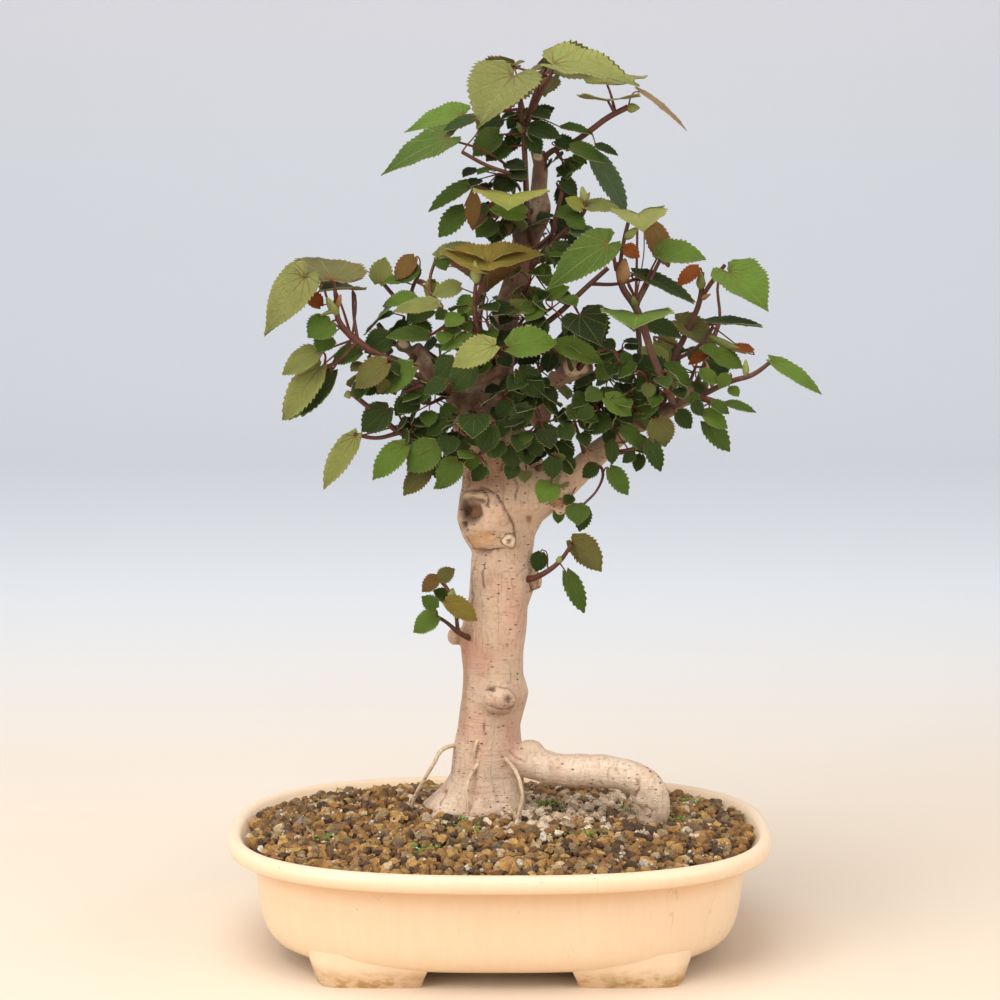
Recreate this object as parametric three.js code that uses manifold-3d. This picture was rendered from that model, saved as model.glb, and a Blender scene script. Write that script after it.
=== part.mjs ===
import * as THREE from 'three';
import { mergeVertices } from 'three/addons/utils/BufferGeometryUtils.js';
import Module from 'manifold-3d';

const wasm = await Module();
wasm.setup();

// Driving dimensions in mm: a glazed oval pot, 324 long and 243 deep, with a tree about 530 tall over all
const potLength = 324;
const potDepth = 243;
const rimTop = 74;
const lipHeight = 11;
const lipWidth = 8;
const wallThickness = 8;
const floorHeight = 9;
const floorThickness = 8;
const footHeight = 15.5;
const drainRadius = 10;
const drainOffset = 62;
const screenSize = 34;
const screenThickness = 1;
const ovalPower = 2.6;
const potSides = 32;

const soilEdge = 69;
const moundHeight = 9;
const seatGap = 0.3;
const seamTolerance = 0.1;

const bladeThickness = 0.7;
const petioleWidth = 1.3;

// The place that the tree is seen from: how far away, how high, how far it looks down
const eye = { distance: 1400, height: 438, tilt: THREE.MathUtils.degToRad(6.9), focal: 2389 };
const viewMiddle = 500;

// A point seen at across and down in a view 1000 wide and high, so many mm behind the middle of the pot
function seen([across, down, back]) {
  const sideways = (across - viewMiddle) / eye.focal;
  const upward = (viewMiddle - down) / eye.focal;
  const reach = (eye.distance + back) / (Math.cos(eye.tilt) + upward * Math.sin(eye.tilt));
  const height = eye.height + reach * (upward * Math.cos(eye.tilt) - Math.sin(eye.tilt));
  return new THREE.Vector3(sideways * reach, back, height);
}

function seenScale(back) {
  return (eye.distance + back) / eye.focal;
}

// A repeatable number from 0 to 1
function chance(seed) {
  const wave = Math.sin(seed * 12.9898) * 43758.5453;
  return wave - Math.floor(wave);
}

function solidFrom(vertices, faces) {
  const flat = new Float32Array(vertices.flatMap((v) => [v.x, v.y, v.z]));
  const made = new wasm.Manifold(
    new wasm.Mesh({ numProp: 3, vertProperties: flat, triVerts: new Uint32Array(faces.flat()) }),
  );
  if (made.volume() < 0) {
    return solidFrom(vertices, faces.map(([a, b, c]) => [a, c, b]));
  }
  return made;
}

function solidOf(geometry) {
  const bare = geometry.clone();
  bare.deleteAttribute('normal');
  bare.deleteAttribute('uv');
  const merged = mergeVertices(bare, 1e-3);
  return new wasm.Manifold(
    new wasm.Mesh({
      numProp: 3,
      vertProperties: merged.attributes.position.array,
      triVerts: new Uint32Array(merged.index.array),
    }),
  );
}

function joined(solids) {
  return wasm.Manifold.union(solids);
}

function largestBody(solid) {
  const bodies = solid.decompose();
  return bodies.reduce((best, body) => (body.volume() > best.volume() ? body : best));
}

function mesh(name, solid, colour, roughness) {
  const made = largestBody(solid.simplify(seamTolerance)).getMesh();
  const geometry = new THREE.BufferGeometry();
  geometry.setAttribute('position', new THREE.BufferAttribute(made.vertProperties, 3));
  geometry.setIndex(new THREE.BufferAttribute(made.triVerts, 1));
  geometry.computeVertexNormals();
  const look = { color: colour, roughness, metalness: 0, flatShading: true };
  const material = new THREE.MeshStandardMaterial(look);
  const part = new THREE.Mesh(geometry, material);
  part.name = name;
  return part;
}

// A closed skin over rings of equal count, with each end filled from its middle
function loft(rings) {
  const sides = rings[0].length;
  const vertices = rings.flat();
  const faces = [];
  for (let ring = 0; ring + 1 < rings.length; ring += 1) {
    for (let side = 0; side < sides; side += 1) {
      const next = (side + 1) % sides;
      const a = ring * sides + side;
      const b = ring * sides + next;
      faces.push([a, b, b + sides], [a, b + sides, a + sides]);
    }
  }
  for (const [ring, turned] of [[rings[0], true], [rings[rings.length - 1], false]]) {
    const middle = ring.reduce((sum, v) => sum.add(v), new THREE.Vector3()).divideScalar(sides);
    const centre = vertices.push(middle) - 1;
    const first = turned ? 0 : (rings.length - 1) * sides;
    for (let side = 0; side < sides; side += 1) {
      const edge = [first + side, first + ((side + 1) % sides)];
      faces.push(turned ? [centre, edge[1], edge[0]] : [centre, edge[0], edge[1]]);
    }
  }
  return solidFrom(vertices, faces);
}

// A tapering round limb through points, thickened by the clearance
function limb(points, radii, sides, clearance = 0) {
  const rings = [];
  let side = new THREE.Vector3(0.31, 0.87, 0.39);
  points.forEach((point, index) => {
    const before = points[Math.max(index - 1, 0)];
    const after = points[Math.min(index + 1, points.length - 1)];
    const along = after.clone().sub(before).normalize();
    side = side.clone().sub(along.clone().multiplyScalar(side.dot(along))).normalize();
    const up = along.clone().cross(side);
    const ring = [];
    for (let step = 0; step < sides; step += 1) {
      const turn = (2 * Math.PI * step) / sides;
      const offset = side.clone().multiplyScalar(Math.cos(turn));
      offset.addScaledVector(up, Math.sin(turn));
      ring.push(point.clone().addScaledVector(offset, radii[index] + clearance));
    }
    rings.push(ring);
  });
  return loft(rings);
}

// A limb whose rows are across, down, back and the width seen
function seenLimb(rows, sides, clearance = 0) {
  const points = rows.map(seen);
  const radii = rows.map(([, , back, width]) => (width / 2) * seenScale(back));
  return limb(points, radii, sides, clearance);
}

// Pot

function ovalPoint(turn, halfLength, halfDepth, height) {
  const c = Math.cos(turn);
  const s = Math.sin(turn);
  const x = halfLength * Math.sign(c) * Math.abs(c) ** (2 / ovalPower);
  const y = halfDepth * Math.sign(s) * Math.abs(s) ** (2 / ovalPower);
  return new THREE.Vector3(x, y, height);
}

// A level ring of the pot's outline, drawn in by inset
function ovalRing(inset, height) {
  const ring = [];
  for (let side = 0; side < potSides; side += 1) {
    const turn = (2 * Math.PI * side) / potSides;
    ring.push(ovalPoint(turn, potLength / 2 - inset, potDepth / 2 - inset, height));
  }
  return ring;
}

// Outer side from the bottom up: how far it lies in from the rim's outline, and its height
const potOutside = [
  [34, floorHeight],
  [25, 12.5],
  [20.5, 20],
  [18, 34],
  [16, rimTop - lipHeight - 1],
  [1.5, rimTop - lipHeight],
  [0, rimTop - lipHeight / 2],
  [2.5, rimTop],
];

// Inner side from the lip down
const potInside = [
  [lipWidth, rimTop - 0.6],
  [lipWidth + 4, rimTop - 8],
  [16 + wallThickness, 50],
  [21 + wallThickness, 32],
  [34 + wallThickness, floorHeight + floorThickness],
];

// A foot's outline on the ground from the middle of the pot, and higher up inside the wall
const footOutline = [[45, 71], [93, 69], [105.5, 67], [104, 78], [98, 85.5], [72, 87.5], [45, 87]];
const footTop = [[38, 70], [93, 64], [108, 64], [106, 74], [99, 80.5], [72, 89], [38, 93]];

function footSolid(sideways, forward) {
  const ring = (outline, height) => {
    const points = outline.map(([x, y]) => new THREE.Vector3(sideways * x, forward * y, height));
    return sideways * forward < 0 ? points.reverse() : points;
  };
  return loft([ring(footOutline, 0), ring(footTop, footHeight)]);
}

function potShell() {
  const rings = [...potOutside, ...potInside].map(([inset, height]) => ovalRing(inset, height));
  return loft(rings);
}

function drainHole(across) {
  const hole = new THREE.CylinderGeometry(drainRadius, drainRadius, 60, 16);
  hole.rotateX(Math.PI / 2);
  hole.translate(across, 0, floorHeight);
  return solidOf(hole);
}

function potSolid() {
  const feet = [footSolid(-1, -1), footSolid(1, -1), footSolid(-1, 1), footSolid(1, 1)];
  const body = joined([potShell(), ...feet]);
  return body.subtract(drainHole(-drainOffset)).subtract(drainHole(drainOffset));
}

// A square of mesh over a drain hole, thickened by the clearance
function screenSolid(across, clearance = 0) {
  const side = screenSize + 2 * clearance;
  const plate = new THREE.BoxGeometry(side, side, screenThickness + 2 * clearance);
  plate.translate(across, 0, floorHeight + floorThickness + seatGap + screenThickness / 2);
  return solidOf(plate);
}

// Tree

// Down the trunk: where its two sides are seen, and how far back its middle lies
const trunkSections = [
  [846, 456, 522, 20],
  [822, 436, 524, 20],
  [803, 421, 527, 20],
  [788, 440, 525, 20],
  [772, 450, 524, 20],
  [748, 453, 523, 19],
  [725, 457.5, 520.5, 18],
  [706, 460, 526, 18],
  [692, 461.5, 529, 18],
  [674, 463, 524, 17],
  [652, 461, 524, 17],
  [634, 459, 526, 17],
  [607, 466, 528, 16],
  [592, 468.5, 534, 16],
  [573, 470.5, 534, 16],
  [552, 471.5, 533, 16],
  [536, 462, 535, 15],
  [519, 456.5, 544, 15],
  [502, 458.5, 562, 14],
  [486, 461, 560, 14],
  [468, 461, 548, 14],
  [446, 458, 536, 14],
  [424, 450, 522, 14],
  [404, 446, 516, 14],
  [386, 448, 512, 14],
  [366, 466, 514, 14],
  [344, 484, 517, 14],
  [318, 491, 519, 14],
  [290, 500, 527, 13],
  [262, 509, 537, 12],
  [240, 512, 540, 11],
  [222, 521, 548, 10],
  [206, 529, 551, 9],
  [190, 530, 547, 8],
  [170, 532, 548, 8],
  [150, 535, 546, 8],
];

// Limbs: across, down, back and width, from inside the wood outward
const rightLimb = [
  [530, 512, 12, 30], [560, 488, 8, 30], [590, 460, 2, 26], [612, 441, -3, 23],
  [632, 425, -6, 20], [660, 414, -9, 17], [682, 401, -11, 14], [692, 388, -12, 11],
];
const jinLimb = [
  [500, 412, 10, 22], [530, 398, 2, 18], [556, 380, -6, 16], [574, 370, -10, 22], [592, 366, -12, 14],
];
const tornStem = [[548, 392, -4, 10], [552, 380, -8, 9], [550, 372, -10, 6]];
const archedBranch = [
  [456, 404, 10, 15], [452, 391, -8, 13], [473, 381, -18, 12], [490, 375.5, -22, 12],
  [501, 366, -22, 11], [497, 354, -21, 8],
];
const leftStub = [[462, 398, 8, 26], [436, 375, 2, 22], [413, 348, -3, 18]];
const paleStub = [[496, 352, 8, 12], [478, 334, 2, 12], [462, 317, -2, 12]];
const leftTwig = [[462, 392, 2, 10], [440, 384, -10, 8], [408, 382, -14, 7]];
const airRoot = [
  [498, 757, 16, 34], [530, 762, 10, 34], [556, 769, 4, 34], [582, 771, 0, 35], [608, 772, -4, 34],
  [632, 777, -7, 33], [650, 789, -8, 32], [655, 806, -6, 32], [650, 824, -2, 30], [646, 846, 2, 26],
];
const fineRoots = [
  [
    [462, 744, 16, 5], [442, 750, 8, 4.5], [434, 763, 4, 4], [424, 780, 6, 4], [413, 802, 14, 4],
    [411, 814, 16, 3],
  ],
  [[482, 758, 3, 4], [470, 777, -3, 4], [467, 790, -6, 4], [468, 806, -8, 3.5], [468, 822, -8, 3]],
  [
    [505, 758, 4, 4], [516, 772, -6, 4], [521, 787, -12, 4], [522, 799, -15, 4], [518, 816, -17, 3.5],
    [514, 838, -14, 3],
  ],
  [[480, 736, 4, 3.5], [475.6, 746, 0, 3.5], [474, 762, 2, 3.5]],
];

// Knots and swellings on the bark: where they are seen, their distance back, and their width and height
const swellings = [
  [486, 514, 2, 56, 50],
  [509, 541, -4, 18, 16],
  [455, 636, 14, 16, 20],
  [536, 580, 12, 12, 22],
  [499, 699, 1, 36, 32],
  [477, 404, -3, 30, 30],
  [539, 414, -4, 26, 30],
  [522, 234, 4, 20, 24],
  [561, 507, 2, 20, 20],
];
const hollows = [
  [472, 514, -20, 24, 22],
  [499, 699, -12, 20, 18],
];

function lump([across, down, back, width, height], clearance = 0) {
  const centre = seen([across, down, back]);
  const scale = seenScale(back);
  const ball = new THREE.SphereGeometry(1, 7, 4);
  ball.rotateX(Math.PI / 2);
  const halfWidth = (width / 2) * scale + clearance;
  ball.scale(halfWidth, halfWidth * 0.8, (height / 2) * scale + clearance);
  ball.translate(centre.x, centre.y, centre.z);
  return solidOf(ball);
}

function trunkSolid(clearance) {
  const sides = 10;
  const rings = trunkSections.map(([down, left, right, back], level) => {
    const middle = seen([(left + right) / 2, down, back]);
    const half = ((right - left) / 2) * seenScale(back);
    const ring = [];
    for (let side = 0; side < sides; side += 1) {
      const turn = (2 * Math.PI * side) / sides;
      const ridge = 1 + 0.04 * Math.sin(3 * turn + level * 0.6) * Math.abs(Math.sin(turn));
      const across = half * Math.cos(turn);
      const deep = half * 0.92 * Math.sin(turn) * ridge;
      const reach = new THREE.Vector3(across, deep, 0);
      reach.setLength(reach.length() + clearance);
      ring.push(reach.add(middle));
    }
    return ring;
  });
  return loft(rings.reverse());
}

function treeSolid(clearance = 0) {
  const solids = [trunkSolid(clearance)];
  for (const rows of [rightLimb, jinLimb, airRoot]) {
    solids.push(seenLimb(rows, 7, clearance));
  }
  for (const rows of [archedBranch, leftStub, paleStub, leftTwig, tornStem]) {
    solids.push(seenLimb(rows, 5, clearance));
  }
  for (const rows of fineRoots) {
    solids.push(seenLimb(rows, 4, clearance));
  }
  for (const row of swellings) {
    solids.push(lump(row, clearance));
  }
  const wood = joined(solids);
  if (clearance > 0) {
    return wood;
  }
  return wood.subtract(joined(hollows.map((row) => lump(row))));
}

// Soil

function soilHeight(x, y) {
  const reach = Math.hypot(x / (potLength / 2), y / (potDepth / 2));
  const mound = moundHeight * Math.max(0, 1 - reach * reach);
  const bumps = 1.1 * Math.sin(x * 0.11 + 1) * Math.cos(y * 0.13) + 0.7 * Math.sin(x * 0.23 - y * 0.19);
  return soilEdge + mound + bumps * Math.min(1, 2.2 * (1 - reach) + 0.1);
}

function soilSolid(treeRoom) {
  const walls = [...potInside].reverse().filter(([, height]) => height < soilEdge);
  const rings = walls.map(([inset, height], level) =>
    ovalRing(inset + seatGap + 0.3, height + (level === 0 ? seatGap : 0)),
  );
  const edge = ovalRing(lipWidth + 3.9 + seatGap, soilEdge - 1.5);
  rings.push(edge);
  const circles = 4;
  for (let circle = 1; circle <= circles; circle += 1) {
    const share = 1 - circle / (circles + 0.6);
    rings.push(
      edge.map((point, side) => {
        const twist = circle % 2 ? 0.5 : 0;
        const next = edge[(side + 1) % edge.length];
        const x = (point.x + (next.x - point.x) * twist) * share;
        const y = (point.y + (next.y - point.y) * twist) * share;
        return new THREE.Vector3(x, y, soilHeight(x, y));
      }),
    );
  }
  const screenRoom = joined([screenSolid(-drainOffset, seatGap), screenSolid(drainOffset, seatGap)]);
  return largestBody(loft(rings).subtract(treeRoom).subtract(screenRoom));
}

// Leaves

// Half outlines from the leaf stalk round a lobe to the tip: share of half the width, share of the length
const halfOutlines = {
  large: [
    [0.3, -0.12], [0.76, -0.1], [0.8, 0.03], [1, 0.14], [0.88, 0.28], [0.93, 0.42], [0.68, 0.54],
    [0.62, 0.7], [0.24, 0.84],
  ],
  middle: [[0.5, -0.12], [0.98, 0.06], [0.84, 0.22], [0.9, 0.42], [0.58, 0.54], [0.44, 0.76]],
  small: [[0.56, -0.1], [1, 0.16], [0.74, 0.36], [0.66, 0.58]],
  tiny: [[0.66, -0.06], [1, 0.26], [0.6, 0.6]],
};
const midribs = { large: [0.3], middle: [0.24], small: [], tiny: [] };

function leafClass(width) {
  if (width >= 50) {
    return 'large';
  }
  if (width >= 36) {
    return 'middle';
  }
  return width >= 24 ? 'small' : 'tiny';
}

function nearestOn(stems, point) {
  let best = { gap: Infinity };
  for (const stem of stems) {
    for (let index = 0; index + 1 < stem.length; index += 1) {
      const line = new THREE.Line3(stem[index], stem[index + 1]);
      const near = line.closestPointToPoint(point, true, new THREE.Vector3());
      const gap = near.distanceTo(point);
      if (gap < best.gap) {
        best = { gap, near };
      }
    }
  }
  return best.near;
}

// The leaf's frame: base, length, half width, along, across and out of the upper face
function leafFrame(row) {
  const [across, down, back, tipAcross, tipDown, width, roll, lean = 1] = row;
  const base = seen([across, down, back]);
  const scale = seenScale(back);
  const shown = Math.hypot(tipAcross - across, tipDown - down);
  const hidden = Math.sqrt(Math.max(0, (1.02 * width) ** 2 - shown ** 2)) * scale;
  const tip = seen([tipAcross, tipDown, back - lean * hidden]);
  const along = tip.clone().sub(base);
  const length = along.length();
  along.normalize();
  const turn = THREE.MathUtils.degToRad(roll);
  const facing = new THREE.Vector3(0, -Math.sin(turn), Math.cos(turn));
  const out = facing.sub(along.clone().multiplyScalar(facing.dot(along))).normalize();
  const side = along.clone().cross(out);
  return { base, length, half: (width / 2) * scale, along, side, out, size: leafClass(width) };
}

function petioleRoute(frame, start) {
  const { base, along, out, length } = frame;
  const gap = base.distanceTo(start);
  const heading = start.clone().sub(base).normalize();
  const route = [start];
  if (gap > 34) {
    const sag = start.clone().lerp(base, 0.5);
    sag.z += gap * 0.07;
    route.push(sag);
  }
  const turnsBack = heading.dot(along) > -0.25;
  if (turnsBack && gap > 5) {
    const reach = Math.min(gap * 0.35, length * 0.12 + 1.5);
    route.push(base.clone().addScaledVector(along, -reach * 0.6).addScaledVector(out, -reach * 0.7));
  }
  return route;
}

// One leaf with its stalk as one thin plate, split into the same triangles above and below
function leafSolid(row, start, seed) {
  const frame = leafFrame(row);
  const { base, length, half, along, side, out, size } = frame;
  const fold = 0.1 + 0.22 * chance(seed);
  const droop = 0.08 + 0.16 * chance(seed + 0.37);
  const wave = 0.05 * (chance(seed + 0.71) - 0.3);
  const top = [];
  const faces = [];
  const place = (s, t) => {
    const folded = fold * Math.abs(s) * half - droop * t * t * length * 0.6;
    const lift = folded - wave * half * s * s * Math.sin(9 * t);
    const flat = base.clone().addScaledVector(side, s * half).addScaledVector(along, t * length);
    return flat.addScaledVector(out, lift);
  };
  const lifts = [];
  const add = (point, lift) => {
    top.push(point);
    lifts.push(lift);
    return top.length - 1;
  };
  const bladeLift = out.clone().multiplyScalar(bladeThickness / 2);
  const stalkHalf = (petioleWidth * (size === 'large' ? 1.5 : size === 'middle' ? 1.2 : 1)) / 2;
  const route = petioleRoute(frame, start);
  const stalk = route.map((point, index) => {
    const next = route[index + 1] ?? base;
    const heading = next.clone().sub(point).normalize();
    const turn = new THREE.Quaternion().setFromUnitVectors(along, heading);
    const stalkSide = side.clone().applyQuaternion(turn);
    const stalkOut = out.clone().applyQuaternion(turn).multiplyScalar(stalkHalf);
    const left = add(point.clone().addScaledVector(stalkSide, -stalkHalf), stalkOut);
    const right = add(point.clone().addScaledVector(stalkSide, stalkHalf), stalkOut);
    return [left, right];
  });
  const baseLift = out.clone().multiplyScalar(stalkHalf * 0.8);
  stalk.push([
    add(base.clone().addScaledVector(side, -stalkHalf), baseLift),
    add(base.clone().addScaledVector(side, stalkHalf), baseLift),
  ]);
  const rim = [];
  for (let index = 0; index + 1 < stalk.length; index += 1) {
    const [left, right] = stalk[index];
    const [nextLeft, nextRight] = stalk[index + 1];
    faces.push([left, right, nextRight], [left, nextRight, nextLeft]);
  }
  const outline = halfOutlines[size];
  const right = outline.map(([s, t]) => add(place(s, t), bladeLift));
  const left = outline.map(([s, t]) => add(place(-s, t), bladeLift));
  const ribs = midribs[size].map((t) => add(place(0, t), bladeLift));
  const tip = add(place(0, 1), bladeLift);
  const [baseLeft, baseRight] = stalk[stalk.length - 1];
  const chainT = (list) => [...list.map(([, t]) => t), 1];
  const zip = (first, chain, turned) => {
    const edge = [first, ...chain, tip];
    const heights = [0, ...chainT(outline)];
    const spine = [...ribs, tip];
    const spineT = [...midribs[size], 1];
    let e = 0;
    let r = 0;
    while (e < edge.length - 2 || r < spine.length - 1) {
      const middle = r < spine.length - 1 ? (spineT[r] + spineT[r + 1]) / 2 : Infinity;
      const advanceEdge = e < edge.length - 2 && heights[e + 1] < middle;
      const triangle = advanceEdge ? [edge[e], edge[e + 1], spine[r]] : [edge[e], spine[r + 1], spine[r]];
      faces.push(turned ? [triangle[0], triangle[2], triangle[1]] : triangle);
      if (advanceEdge) {
        e += 1;
      } else {
        r += 1;
      }
    }
    if (spine.length > 1 || edge[e] !== tip) {
      const last = [edge[e], tip, spine[r]];
      if (new Set(last).size === 3) {
        faces.push(turned ? [last[0], last[2], last[1]] : last);
      }
    }
  };
  faces.push([baseLeft, baseRight, ribs.length ? ribs[0] : tip]);
  zip(baseRight, right, false);
  zip(baseLeft, left, true);
  for (const [l] of stalk) {
    rim.unshift(l);
  }
  const loop = [...rim.slice().reverse(), ...left, tip, ...right.slice().reverse()];
  for (let index = stalk.length - 1; index >= 0; index -= 1) {
    loop.push(stalk[index][1]);
  }
  const count = top.length;
  const vertices = [
    ...top.map((point, index) => point.clone().add(lifts[index])),
    ...top.map((point, index) => point.clone().sub(lifts[index])),
  ];
  const all = faces.flatMap(([a, b, c]) => [[a, b, c], [a + count, c + count, b + count]]);
  loop.forEach((a, index) => {
    const b = loop[(index + 1) % loop.length];
    all.push([a, b, b + count], [a, b + count, a + count]);
  });
  return solidFrom(vertices, all);
}

// A pointed bud or bract between two seen places
function budSolid([across, down, back, tipAcross, tipDown, width], stems) {
  const base = nearestOn(stems, seen([across, down, back]));
  const tip = seen([tipAcross, tipDown, back]);
  const middle = base.clone().lerp(tip, 0.45);
  const half = (width / 2) * seenScale(back);
  return limb([base, middle, tip], [half * 0.5, half, half * 0.3], 4);
}

// A leafy shoot: stems of across, down, back, width rows, leaf rows and bud rows
function shootSolid(shoot, seed, treeRoom) {
  const stemPoints = shoot.stems.map((rows) => rows.map(seen));
  const solids = shoot.stems.map((rows) => seenLimb(rows, rows[0][3] > 6 ? 5 : 4));
  shoot.leaves.forEach((row, index) => {
    const base = seen(row);
    const root = row[8] ? seen(row[8]) : base;
    const start = nearestOn(stemPoints, root);
    solids.push(leafSolid(row, start, seed + index));
  });
  for (const row of shoot.buds ?? []) {
    solids.push(budSolid(row, stemPoints));
  }
  return largestBody(joined(solids).subtract(treeRoom));
}

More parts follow.
